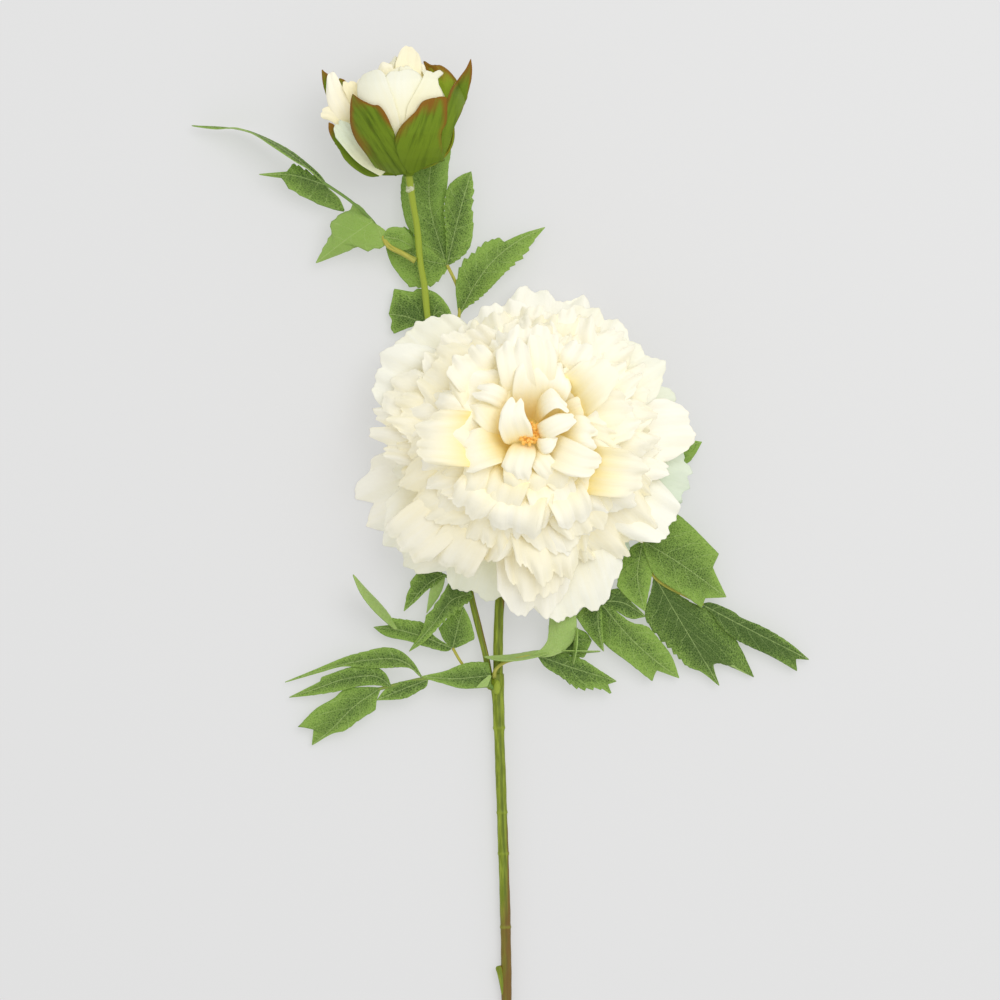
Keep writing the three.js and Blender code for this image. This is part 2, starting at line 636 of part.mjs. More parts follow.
// ---- stems ----
/** The main stem with its moulded rings and the stub of a trimmed shoot. grow widens it all round. */
function mainStem(grow) {
  const length = smoothCurve(STEM_PATH).getLength();
  const start = STEM_PATH[0][1];
  const seams = STEM_SEAMS.map((y) => (y - start) / length);
  const half = SEAM_WIDTH / 2 / length;
  const stops = steps(0, 1, 36).filter((t) => seams.every((seam) => Math.abs(t - seam) > 2.5 * half));
  seams.forEach((seam) => stops.push(seam - 2 * half, seam - half, seam + half, seam + 2 * half));
  stops.sort((a, b) => a - b);
  const onSeam = (t) => seams.some((seam) => Math.abs(t - seam) < 1.5 * half);
  const radiusAt = (t) => STEM_RADIUS + grow + (onSeam(t) ? SEAM_RISE : 0);
  const stem = tube(STEM_PATH, radiusAt, stops, 9);
  const stub = tube(STUB.path, () => STUB.radius + grow, [0, 0.5, 1], 8);
  return fuse([stem, stub]).trimByPlane([0, 0, 1], 0);
}

function budStem(grow) {
  const shaft = tube(BUD_STEM_PATH, () => BUD_STEM_RADIUS + grow, steps(0, 1, 20), 7);
  const blob = new THREE.SphereGeometry(GLUE_BLOB.radius + grow, 8, 6).translate(...GLUE_BLOB.at);
  return fuse([shaft, solidOf(blob)]);
}

/** The sleeve where the side stem and the leaf stalks leave the main stem. */
function collar(grow) {
  const { outer, edge, from, to, x, z } = COLLAR;
  const rim = edge + grow;
  const barrel = turned([
    [0, from - grow], [rim, from - grow], [outer + grow, (from + to) / 2], [rim, to + grow], [0, to + grow],
  ], 12);
  return barrel.rotate([-90, 0, 0]).translate([x, 0, z]);
}

// ---- leaves ----
/** Outline of one side of a leaflet as a line of straight stretches, open a little at both ends. */
function outline(rib, side, hand) {
  const ends = [rib[0], rib[rib.length - 1]];
  const run = new THREE.Vector2(ends[1][0] - ends[0][0], ends[1][1] - ends[0][1]).normalize();
  const points = [
    new THREE.Vector2(ends[0][0] - run.y * hand * 0.6, ends[0][1] + run.x * hand * 0.6),
    ...side.map(([x, y]) => new THREE.Vector2(x, y)),
    new THREE.Vector2(ends[1][0] - run.y * hand * 0.35, ends[1][1] + run.x * hand * 0.35),
  ];
  const lengths = [0];
  for (let k = 1; k < points.length; k += 1) {
    lengths.push(lengths[k - 1] + points[k].distanceTo(points[k - 1]));
  }
  const stops = lengths.map((length) => length / lengths[lengths.length - 1]);
  const at = (t) => {
    let k = 1;
    while (k < stops.length - 1 && t > stops[k]) k += 1;
    const share = (t - stops[k - 1]) / (stops[k] - stops[k - 1]);
    return points[k - 1].clone().lerp(points[k], share);
  };
  return { at, stops };
}

/** A leaflet blade, ruled from its rib to both sides of its outline. */
function leaflet({ rib, left, right, fold, stand = 0 }, grow) {
  const spine = smoothCurve(rib);
  const sides = { [-1]: outline(rib, left, 1), 1: outline(rib, right, -1) };
  const surface = (u, v) => {
    const middle = spine.getPointAt(u);
    const hand = v < 0 ? -1 : 1;
    const edge = sides[hand].at(u);
    const out = edge.distanceTo(new THREE.Vector2(middle.x, middle.y));
    const height = middle.z - fold * out - hand * stand * Math.sin(Math.PI * u);
    return middle.lerp(new THREE.Vector3(edge.x, edge.y, height), Math.abs(v));
  };
  const rows = [];
  const wanted = [...sides[-1].stops, ...sides[1].stops].sort((a, b) => a - b);
  for (const stop of wanted) {
    if (rows.length === 0 || stop - rows[rows.length - 1] > 0.075) rows.push(stop);
  }
  rows[rows.length - 1] = 1;
  return sheet(surface, rows, [-1, 0, 1], LEAF_THICKNESS, grow);
}

/** A compound leaf: its stalks and leaflets in one piece. */
function leaf({ stalks, leaflets }, grow = 0) {
  const stems = stalks.map(({ radius, path }) => {
    const length = smoothCurve(path).getLength();
    return tube(path, () => radius + grow, steps(0, 1, Math.max(3, Math.round(length / 7))), 7);
  });
  const blades = Object.values(leaflets).map((spec) => leaflet(spec, grow));
  return fuse([...stems, ...blades]);
}

// ---- petals ----
/**
 * A petal round the Z axis. Its centreline is a cubic curve from the root over a crest to the tip;
 * its width swells from the root and its top edge is rounded and notched.
 */
function petalSurface(spec) {
  const { azimuth, reach, crest, tip, halfWidth, root, notch, wrap, seed } = spec;
  const { rootWidth, widest, corner, ruffle } = PETAL_FORM;
  const span = reach - root.radius;
  const profile = new THREE.CubicBezierCurve(
    new THREE.Vector2(root.radius, root.height),
    new THREE.Vector2(root.radius + 0.15 * span, crest),
    new THREE.Vector2(root.radius + 0.65 * span, crest + 0.15 * (crest - tip)),
    new THREE.Vector2(reach, tip),
  );
  const turn = radians(azimuth);
  const phase = 2 * Math.PI * chance(seed);
  return (u, v) => {
    const dip = corner * Math.abs(v) ** 2.2 + notch * Math.exp(-((v / 0.2) ** 2)) - 0.02;
    const along = Math.min(u * (1 - dip), 1);
    const point = profile.getPoint(along);
    const tangent = profile.getTangent(along);
    const swell = Math.sin((Math.PI / 2) * Math.min(1, along / widest));
    const across = v * halfWidth * (rootWidth + (1 - rootWidth) * swell);
    const wave = ruffle * halfWidth * u * u * Math.sin(3.3 * Math.PI * v + phase);
    const radius = point.x - across ** 2 / (2 * wrap) - tangent.y * wave;
    const height = point.y + tangent.x * wave;
    return new THREE.Vector3(
      radius * Math.cos(turn) - across * Math.sin(turn),
      radius * Math.sin(turn) + across * Math.cos(turn),
      height,
    );
  };
}

/** Leans a point of the bloom and moves it over the stem. */
function leaned(point) {
  const share = (point.z - RECEPTACLE.from) / (BLOOM_TOP - RECEPTACLE.from);
  point.x += BLOOM_BASE[0] + BLOOM_LEAN[0] * share;
  point.y += BLOOM_BASE[1] + BLOOM_LEAN[1] * share;
  return point;
}

/** All petals of the open bloom, from the flat outer ones to the upright ones round the stamens. */
function bloomSpecs() {
  const specs = GUARD_PETALS.map(([azimuth, reach, tip, halfWidth, layer, notch], k) => ({
    azimuth, reach, tip, halfWidth, notch,
    crest: 24 + 0.25 * tip + 1.4 * layer * LAYER_STEP,
    root: { radius: GUARD_ROOT.radius, height: GUARD_ROOT.height + layer * LAYER_STEP },
    wrap: PETAL_WRAP.guard, seed: k + 1, columns: 4,
  }));
  PETAL_RINGS.forEach(({ count, start, reach, crest, tip, halfWidth }, ring) => {
    for (let k = 0; k < count; k += 1) {
      const seed = 31 * (ring + 1) + k;
      const raised = RING_STEP * (k % 2);
      specs.push({
        azimuth: start + (360 * k) / count + 8 * (chance(seed) - 0.5),
        reach: (reach - raised) * (0.97 + 0.06 * chance(seed + 7)),
        crest: crest + raised,
        tip: tip + raised + 3 * (chance(seed + 3) - 0.5),
        halfWidth: halfWidth * (0.9 + 0.2 * chance(seed + 5)),
        notch: 0.03 + 0.05 * chance(seed + 9),
        root: { radius: RING_ROOT.radius, height: RING_ROOT.height + RING_ROOT.step * ring + 0.6 * raised },
        wrap: PETAL_WRAP.ring,
        seed,
        columns: 3,
      });
    }
  });
  HEART_PETALS.forEach(([azimuth, reach, crest, tip, halfWidth], k) => {
    specs.push({
      azimuth, reach, crest, tip, halfWidth,
      notch: 0.04, root: HEART_ROOT, wrap: PETAL_WRAP.heart, seed: 200 + k, columns: 2,
    });
  });
  return specs;
}

function bloomPetals(grow) {
  const petals = bloomSpecs().map((spec) => {
    const surface = petalSurface(spec);
    const columns = steps(-1, 1, spec.columns);
    return sheet((u, v) => leaned(surface(u, v)), PETAL_FORM.rows, columns, PETAL_THICKNESS, grow);
  });
  const { radius, from, waist, topRadius, to } = RECEPTACLE;
  const core = turned([
    [0, from - grow], [radius - 3, from - grow], [radius + grow, from + 3], [radius + grow, waist],
    [topRadius + grow, to + grow], [0, to + grow],
  ], 16);
  return fuse([...petals, core.translate([...BLOOM_BASE, 0])], PETAL_WELD);
}

/** The green cup under the bloom with its short sepals. */
function bloomCalyx() {
  const cup = turned(CALYX_PROFILE, 12);
  const leaves = steps(0, 360, CALYX_SEPALS.count).slice(1).map((azimuth) => {
    const surface = petalSurface({ ...CALYX_SEPALS, azimuth, notch: -0.25, wrap: PETAL_WRAP.sepal, seed: 1 });
    return sheet(surface, steps(0, 1, 3), steps(-1, 1, 2), SEPAL_THICKNESS, 0);
  });
  return fuse([cup, ...leaves]).translate([...BLOOM_BASE, 0]);
}

/** A tuft of filaments with anthers on a small pad. */
function stamens() {
  const { count, at, base, padRadius, padHeight, length, filament, anther } = STAMENS;
  const pad = [[0, base], [padRadius, base], [padRadius, base + padHeight], [0, base + padHeight]];
  const tuft = [turned(pad, 12)];
  for (let k = 0; k < count; k += 1) {
    const turn = k * 2.4; // golden angle, which spreads them evenly
    const spread = 0.8 * padRadius * Math.sqrt((k + 0.5) / count);
    const reach = length * (0.85 + 0.25 * chance(k + 1));
    const out = [spread * Math.cos(turn), spread * Math.sin(turn)];
    const at3 = (lean, height) => [lean * out[0], lean * out[1], base + height];
    const path = [at3(1, padHeight / 2), at3(1.15, reach / 2), at3(1.5, reach)];
    tuft.push(tube(path, (t) => (t > 0.8 ? anther : filament), [0, 0.45, 0.8, 0.86, 1], 4));
  }
  return fuse(tuft).translate([...at, 0]);
}

// ---- bud ----
/** Turns the bud's own frame, whose Z runs along its axis, into place. */
const BUD_PLACE = new THREE.Matrix4().compose(
  vector(BUD_BASE),
  new THREE.Quaternion().setFromUnitVectors(new THREE.Vector3(0, 0, 1), vector(BUD_AXIS).normalize()),
  new THREE.Vector3(1, 1, 1),
);

/** A cupped petal or sepal of the bud, which swells to belly and closes to reach. */
function budSheet({ azimuth, reach, length, halfWidth, belly, notch, seed, start }, thickness, grow) {
  const { rootWidth, widest, corner, ruffle, spiral, rows } = BUD_FORM;
  const profile = new THREE.CubicBezierCurve(
    new THREE.Vector2(1.5, start),
    new THREE.Vector2(belly * 1.05, start + 0.02 * length),
    new THREE.Vector2(belly * 1.12, start + 0.55 * length),
    new THREE.Vector2(reach, length),
  );
  const turn = radians(azimuth);
  const phase = 2 * Math.PI * chance(seed);
  const surface = (u, v) => {
    const along = u * (1 - corner * Math.abs(v) ** 2 - notch * Math.exp(-((v / 0.25) ** 2)));
    const point = profile.getPoint(along);
    const swell = Math.sin((Math.PI / 2) * Math.min(1, along / widest));
    const round = (v * halfWidth * (rootWidth + (1 - rootWidth) * swell)) / Math.max(point.x, 5);
    const angle = turn + THREE.MathUtils.clamp(round, -1.3, 1.3);
    const wave = ruffle * halfWidth * u * u * Math.sin(3 * Math.PI * v + phase);
    const radius = point.x + wave + spiral * v;
    const local = new THREE.Vector3(radius * Math.cos(angle), -radius * Math.sin(angle), point.y);
    return local.applyMatrix4(BUD_PLACE);
  };
  return sheet(surface, rows, steps(-1, 1, 3), thickness, grow);
}

function budPetals(grow) {
  const petals = BUD_RINGS.flatMap(({ count, start, ...ring }, layer) => (
    Array.from({ length: count }, (_, k) => budSheet({
      ...ring,
      azimuth: start + (360 * k) / count,
      length: ring.length * (0.93 + 0.14 * chance(7 * layer + k + 60)),
      notch: 0.04,
      seed: 90 + 9 * layer + k,
      start: 4,
    }, PETAL_THICKNESS, grow))
  ));
  const core = turned(BUD_CORE, 12).transform(BUD_PLACE.elements);
  return fuse([...petals, core], PETAL_WELD);
}

/** The sepals round the bud and the small cup that holds them on the stem. */
function budSepals() {
  const sepals = BUD_SEPALS.map(([azimuth, reach, length, halfWidth, belly], k) => budSheet({
    azimuth, reach, length, halfWidth, belly: belly + SEPAL_CLEARANCE, notch: -0.1, seed: 130 + k, start: 1.2,
  }, SEPAL_THICKNESS, 0));
  return fuse([...sepals, turned(BUD_CUP, 12).transform(BUD_PLACE.elements)]);
}

// ---- assembly ----
const room = {
  stem: mainStem(JOINT_GAP),
  collar: collar(JOINT_GAP),
  budStem: budStem(JOINT_GAP),
  petals: bloomPetals(PETAL_GAP),
  budPetals: budPetals(PETAL_GAP),
};

/** Cuts the room of its neighbours out of a solid. */
function clearOf(solid, neighbours) {
  return oneBody(wasm.Manifold.difference([solid, ...neighbours]));
}

const sleeve = clearOf(collar(0), [room.stem, room.budStem]);
const sideStem = clearOf(budStem(0), [room.stem]);
const calyx = clearOf(bloomCalyx(), [room.petals, room.stem, room.budStem]);
const sepals = clearOf(budSepals(), [room.budPetals, room.budStem]);

const group = new THREE.Group();
group.add(part('main_stem', mainStem(0), COLOURS.stem, 0.5));
group.add(part('fork_collar', sleeve, COLOURS.collar, 0.5));
group.add(part('bud_stem', sideStem, COLOURS.stem, 0.5));
group.add(part('bloom_calyx', calyx, COLOURS.sepal, 0.6));
group.add(part('bloom_petals', bloomPetals(0), COLOURS.petal, 0.85));
group.add(part('bloom_stamens', clearOf(stamens(), [room.petals]), COLOURS.stamen, 0.7));
group.add(part('bud_petals', budPetals(0), COLOURS.petal, 0.85));
group.add(part('bud_sepals', sepals, COLOURS.sepal, 0.7));
for (const [name, spec] of Object.entries(LEAVES)) {
  const blade = clearOf(leaf(spec), [room.stem, room.collar, room.budStem, room.petals]);
  group.add(part(`leaf_${name}`, blade, COLOURS.leaf, 0.7));
}

export default group;
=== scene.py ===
"""An artificial cream peony stem, dressed over its solid model.

The stem lies on a pale surface and is seen from above. Sizes and places are in millimetres in the
model's own frame, as they are in the solid model, and Sculpture.build turns them into metres.
"""
import logging
import math
from dataclasses import dataclass, field
from enum import Enum
from typing import Iterable, Optional, Sequence, Union

import bpy
import numpy as np
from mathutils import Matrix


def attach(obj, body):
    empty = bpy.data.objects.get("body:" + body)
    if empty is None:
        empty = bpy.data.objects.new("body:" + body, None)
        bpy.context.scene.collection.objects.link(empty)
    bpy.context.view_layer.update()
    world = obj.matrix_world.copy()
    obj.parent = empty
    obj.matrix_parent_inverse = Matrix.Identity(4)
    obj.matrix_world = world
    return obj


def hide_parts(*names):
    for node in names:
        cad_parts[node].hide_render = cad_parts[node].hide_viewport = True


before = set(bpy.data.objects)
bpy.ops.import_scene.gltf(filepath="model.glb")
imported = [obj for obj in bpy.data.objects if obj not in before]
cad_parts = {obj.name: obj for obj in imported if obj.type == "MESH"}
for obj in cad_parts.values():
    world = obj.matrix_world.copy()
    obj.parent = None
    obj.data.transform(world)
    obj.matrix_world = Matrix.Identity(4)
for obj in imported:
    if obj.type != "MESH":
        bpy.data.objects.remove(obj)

LOG = logging.getLogger("peony")
MM = 0.001
LINE_SAMPLES = 24  # in each stretch of a smooth line, before its length is measured
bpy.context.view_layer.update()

Array = np.ndarray
Colour = tuple[float, float, float]


# ---------------------------------------------------------------- curves and meshes
def chance(seed: float) -> float:
    """A repeatable number from 0 to 1: the fraction of a large multiple of the seed's sine.

    Args:
        seed: Any number.

    Returns:
        A number from 0 to 1.
    """
    wave = math.sin(seed * 12.9898 + 4.1414) * 43758.5453
    return wave - math.floor(wave)


def ease(low: float, high: float, value: Array) -> Array:
    """A soft step: 0 below low, 1 above high, and 3t^2 - 2t^3 between them.

    Args:
        low: Where the step starts.
        high: Where it ends.
        value: The numbers to step.

    Returns:
        Numbers from 0 to 1.
    """
    share = np.clip((value - low) / (high - low), 0.0, 1.0)
    return share * share * (3.0 - 2.0 * share)


def unit(vectors: Array) -> Array:
    """Vectors scaled to length 1 along the last axis."""
    return vectors / np.maximum(np.linalg.norm(vectors, axis=-1, keepdims=True), 1e-9)


def smooth_line(points: Sequence[Sequence[float]], stations: Array) -> Array:
    """Points on a smooth line through the given ones, at shares of its length.

    The line is a centripetal Catmull-Rom curve: each stretch is a cubic whose end tangents come from
    its neighbours, weighted by the square roots of the distances between the points.

    Args:
        points: The points that the line passes through.
        stations: Shares of the whole length, from 0 to 1.

    Returns:
        One point for each station.
    """
    knots = np.asarray(points, dtype=float)
    padded = np.vstack([2 * knots[0] - knots[1], knots, 2 * knots[-1] - knots[-2]])
    gaps = np.sqrt(np.maximum(np.linalg.norm(np.diff(padded, axis=0), axis=1), 1e-6))
    share = np.linspace(0.0, 1.0, LINE_SAMPLES, endpoint=False)[:, None]
    runs = []
    for k in range(len(knots) - 1):
        before, start, end, after = padded[k:k + 4]
        d0, d1, d2 = gaps[k:k + 3]
        out = ((start - before) / d0 - (end - before) / (d0 + d1) + (end - start) / d1) * d1
        into = ((end - start) / d1 - (after - start) / (d1 + d2) + (after - end) / d2) * d1
        cubic = 2 * start - 2 * end + out + into
        square = -3 * start + 3 * end - 2 * out - into
        runs.append(start + out * share + square * share ** 2 + cubic * share ** 3)
    line = np.vstack(runs + [knots[-1:]])
    return along_line(line, stations)


def along_line(line: Array, stations: Array) -> Array:
    """Points at shares of a broken line's length.

    Args:
        line: The line's corners.
        stations: Shares of its length, from 0 to 1.

    Returns:
        One point for each station.
    """
    reach = np.concatenate([[0.0], np.cumsum(np.linalg.norm(np.diff(line, axis=0), axis=1))])
    reach /= reach[-1]
    return np.stack([np.interp(stations, reach, line[:, axis]) for axis in range(line.shape[1])], axis=-1)


def stacked_rings(rings: int, sides: int) -> tuple[Array, Array]:
    """Faces of a closed stack of rings, whose two end points come after all the rings.

    Args:
        rings: Number of rings.
        sides: Corners in each.

    Returns:
        The four-cornered faces, and the three-cornered ones of both ends.
    """
    index = np.arange(rings * sides).reshape(-1, sides)
    beside = np.roll(index, -1, axis=1)
    quads = np.stack([index[:-1], beside[:-1], beside[1:], index[1:]], axis=-1).reshape(-1, 4)
    foot = np.full(sides, rings * sides)
    tris = np.vstack([np.stack([foot, beside[0], index[0]], axis=-1),
                      np.stack([foot + 1, index[-1], beside[-1]], axis=-1)])
    return quads, tris


def line_length(points: Sequence[Sequence[float]]) -> float:
    """Length of a broken line."""
    return float(np.linalg.norm(np.diff(np.asarray(points, dtype=float), axis=0), axis=1).sum())


def keep_above(points: Array, height: float) -> None:
    """Lifts points that are below a height up to it."""
    points[..., 2] = np.maximum(points[..., 2], height)


def add_object(name: str, data: bpy.types.ID) -> bpy.types.Object:
    """Makes an object of the given data in the scene."""
    made = bpy.data.objects.new(name, data)
    bpy.context.scene.collection.objects.link(made)
    return made


def placed(spot: Sequence[float], turn: Optional[Array] = None) -> Array:
    """A 4 by 4 matrix that moves to a spot, after a turn where one is given."""
    place = np.eye(4)
    place[:len(spot), 3] = spot
    place[:3, :3] = np.eye(3) if turn is None else turn
    return place


@dataclass
class Sculpture:
    """Collects closed shells with their point data and makes them one mesh.

    Attributes:
        points: Arrays of corners, in millimetres.
        quads: Arrays of four-cornered faces.
        tris: Arrays of three-cornered faces.
        data: Values for each corner by name; three-part values become vectors.
        count: Number of corners so far.
    """

    points: list[Array] = field(default_factory=list)
    quads: list[Array] = field(default_factory=list)
    tris: list[Array] = field(default_factory=list)
    data: dict[str, list[Array]] = field(default_factory=dict)
    count: int = 0

    def _add(self, points: Array, quads: Array, tris: Array, data: dict[str, Array]) -> None:
        """Adds one shell, with its faces turned outwards.

        Args:
            points: Corners of the shell.
            quads: Its four-cornered faces.
            tris: Its three-cornered faces.
            data: Values for each of its corners.
        """
        fans = np.vstack([quads[:, [0, 1, 2]], quads[:, [0, 2, 3]], tris.reshape(-1, 3)])
        a, b, c = points[fans[:, 0]], points[fans[:, 1]], points[fans[:, 2]]
        if np.einsum("ij,ij->", a, np.cross(b, c)) < 0.0:
            quads, tris = quads[:, ::-1], tris[:, ::-1]
        self.points.append(points)
        self.quads.append(quads + self.count)
        self.tris.append(tris.reshape(-1, 3) + self.count)
        for name, values in data.items():
            self.data.setdefault(name, []).append(values)
        self.count += len(points)

    def sheet(self, middle: Array, thickness: float, data: dict[str, Array]) -> None:
        """Adds a thin closed sheet over a grid: the grid moved half the thickness to both sides.

        Args:
            middle: Grid of points, rows by columns by 3.
            thickness: Thickness of the sheet.
            data: Grids of values that go on both faces.
        """
        rows, columns = middle.shape[:2]
        along, across = np.gradient(middle, axis=0), np.gradient(middle, axis=1)
        normal = unit(np.cross(across, along))
        faces = [middle + normal * thickness / 2, middle - normal * thickness / 2]
        points = np.concatenate([face.reshape(-1, 3) for face in faces])
        layer = rows * columns
        index = np.arange(layer).reshape(rows, columns)
        top = np.stack([index[:-1, :-1], index[:-1, 1:], index[1:, 1:], index[1:, :-1]], axis=-1).reshape(-1, 4)
        loop = np.concatenate([index[0, :-1], index[:-1, -1], index[-1, :0:-1], index[:0:-1, 0]])
        after = np.roll(loop, -1)
        rim = np.stack([loop, loop + layer, after + layer, after], axis=-1)
        quads = np.vstack([top, top[:, ::-1] + layer, rim])
        doubled = {name: np.concatenate([flat_rows(values, layer)] * 2) for name, values in data.items()}
        doubled["front"] = np.concatenate([np.ones(layer), np.zeros(layer)])
        self._add(points, quads, np.zeros((0, 3), dtype=int), doubled)

    def tube(self, path: Array, radius: Array, sides: int, data: dict[str, Array], squash: float = 1.0,
             groove: float = 0.0) -> None:
        """Adds a closed round tube: a ring of corners turned square to the path at each stop.

        Args:
            path: Points along the middle.
            radius: Radius at each of them.
            sides: Corners in a ring.
            data: Values for each stop, which go all round its ring.
            squash: Height of the section as a share of its width.
            groove: Depth of a lengthwise groove, as a share of the radius.
        """
        tangent = unit(np.gradient(path, axis=0))
        side = np.array([1.0, 0.0, 0.0]) if abs(tangent[0][0]) < 0.9 else np.array([0.0, 1.0, 0.0])
        sideways = np.empty_like(path)
        for stop, direction in enumerate(tangent):
            side = side - direction * side.dot(direction)
            side /= np.linalg.norm(side)
            sideways[stop] = side
        up = np.cross(sideways, tangent)
        turn = 2 * np.pi * (np.arange(sides) + 0.5) / sides
        dent = 1.0 - groove * np.exp(-((turn - 2 * np.pi * GROOVE_TURN) / 0.25) ** 2)
        spokes = (sideways[:, None] * np.cos(turn)[None, :, None]
                  + up[:, None] * squash * np.sin(turn)[None, :, None]) * dent[None, :, None]
        ring = path[:, None] + spokes * radius[:, None, None]
        points = np.vstack([ring.reshape(-1, 3), path[:1], path[-1:]])
        quads, tris = stacked_rings(len(path), sides)
        reach = np.concatenate([[0.0], np.cumsum(np.linalg.norm(np.diff(path, axis=0), axis=1))])
        values = {name: np.concatenate([np.repeat(flat, sides), flat[:1], flat[-1:]])
                  for name, flat in data.items()}
        wrap = np.stack([np.tile(turn / (2 * np.pi), len(path)), np.repeat(reach, sides),
                         np.zeros(len(path) * sides)], axis=-1)
        values["cloth"] = np.vstack([wrap, [[0.5, 0.0, 0.0]], [[0.5, reach[-1], 0.0]]])
        self._add(points, quads, tris, values)

    def turned(self, profile: Sequence[Sequence[float]], sides: int, place: Array,
               data: Optional[dict[str, float]] = None) -> None:
        """Adds a solid of revolution: a profile of radius and height carried round the Z axis.

        Args:
            profile: Pairs of radius and height from the bottom to the top.
            sides: Corners in a ring.
            place: Where it goes, as a 4 by 4 matrix.
            data: Values that are the same all over it.
        """
        line = np.asarray(profile, dtype=float)
        turn = 2 * np.pi * np.arange(sides) / sides
        ring = np.stack([line[:, :1] * np.cos(turn), line[:, :1] * np.sin(turn),
                         np.repeat(line[:, 1:], sides, axis=1)], axis=-1)
        points = np.vstack([ring.reshape(-1, 3), [[0, 0, line[0, 1]]], [[0, 0, line[-1, 1]]]])
        points = points @ place[:3, :3].T + place[:3, 3]
        quads, tris = stacked_rings(len(line), sides)
        values = {name: np.full(len(points), level) for name, level in (data or {}).items()}
        self._add(points, quads, tris, {"cloth": points.copy(), **values})

    def flatten(self) -> None:
        """Flattens what reaches below the floor, as a stem that lies there."""
        for points in self.points:
            keep_above(points, 0.0)

    def build(self, name: str) -> bpy.types.Object:
        """Makes the collected shells one object, in metres, at the origin.

        Args:
            name: Name of the object.

        Returns:
            The new object.
        """
        mesh = bpy.data.meshes.new(name)
        points = np.vstack(self.points) * MM
        quads, tris = np.vstack(self.quads), np.vstack(self.tris)
        corners = np.concatenate([quads.ravel(), tris.ravel()]).astype(np.int32)
        sizes = np.concatenate([np.full(len(quads), 4), np.full(len(tris), 3)]).astype(np.int32)
        mesh.vertices.add(len(points))
        mesh.vertices.foreach_set("co", points.astype(np.float32).ravel())
        mesh.loops.add(len(corners))
        mesh.loops.foreach_set("vertex_index", corners)
        mesh.polygons.add(len(sizes))
        mesh.polygons.foreach_set("loop_start", (np.cumsum(sizes) - sizes).astype(np.int32))
        mesh.polygons.foreach_set("use_smooth", np.ones(len(sizes), dtype=bool))
        mesh.update(calc_edges=True)
        mesh.validate()
        for label, values in self.data.items():
            stack = np.concatenate(values)
            if len(stack) != len(points):
                raise ValueError(f"{name}: {label} is missing on some shells")
            kind, slot = ("FLOAT_VECTOR", "vector") if stack.ndim == 2 else ("FLOAT", "value")
            mesh.attributes.new(label, kind, "POINT").data.foreach_set(slot, stack.astype(np.float32).ravel())
        return add_object(name, mesh)


def flat_rows(values: Array, count: int) -> Array:
    """A grid of values as one row for each corner.

    Args:
        values: Grid of numbers or of vectors.
        count: Number of corners.

    Returns:
        The same values, flattened to count rows.
    """
    return values.reshape(count, -1) if values.ndim == 3 else values.reshape(count)


# ---------------------------------------------------------------- shader maths
Operand = Union["Value", float]


@dataclass
class Value:
    """A number in a material that Python expressions can be written on.

    Attributes:
        tree: The material's nodes.
        socket: The socket that gives the number.
    """

    tree: bpy.types.NodeTree
    socket: bpy.types.NodeSocket

    def _math(self, operation: str, first: Operand, second: Operand = 0.0, clamp: bool = False) -> "Value":
        """Adds a Math node.

        Args:
            operation: The node's operation.
            first: Its first value.
            second: Its second value.
            clamp: Whether the result stays from 0 to 1.

        Returns:
            The node's result.
        """
        maths = self.tree.nodes.new("ShaderNodeMath")
        maths.operation = operation
        maths.use_clamp = clamp
        for entry, operand in zip(maths.inputs, (first, second)):
            if isinstance(operand, Value):
                self.tree.links.new(operand.socket, entry)
            else:
                entry.default_value = operand
        return Value(self.tree, maths.outputs[0])

    def __add__(self, other: Operand) -> "Value":
        """Sum."""
        return self._math("ADD", self, other)

    __radd__ = __add__

    def __sub__(self, other: Operand) -> "Value":
        """Difference."""
        return self._math("SUBTRACT", self, other)

    def __rsub__(self, other: Operand) -> "Value":
        """Difference from a number."""
        return self._math("SUBTRACT", other, self)

    def __mul__(self, other: Operand) -> "Value":
        """Product."""
        return self._math("MULTIPLY", self, other)

    __rmul__ = __mul__

    def __truediv__(self, other: Operand) -> "Value":
        """Quotient."""
        return self._math("DIVIDE", self, other)

    def __gt__(self, other: Operand) -> "Value":
        """1 where the value is greater, and 0 elsewhere."""
        return self._math("GREATER_THAN", self, other)

    def clamped(self) -> "Value":
        """The value kept from 0 to 1."""
        return self._math("ADD", self, 0.0, clamp=True)

    def fraction(self) -> "Value":
        """What is left of the value over the whole number below it."""
        return self._math("FRACT", self)

    def size(self) -> "Value":
        """The value without its sign."""
        return self._math("ABSOLUTE", self)

    def between(self, low: float, high: float) -> "Value":
        """Share of the way from low to high, kept from 0 to 1.

        Args:
            low: Value that gives 0.
            high: Value that gives 1.

        Returns:
            The share.
        """
        return self._math("MULTIPLY", self - low, 1.0 / (high - low), clamp=True)


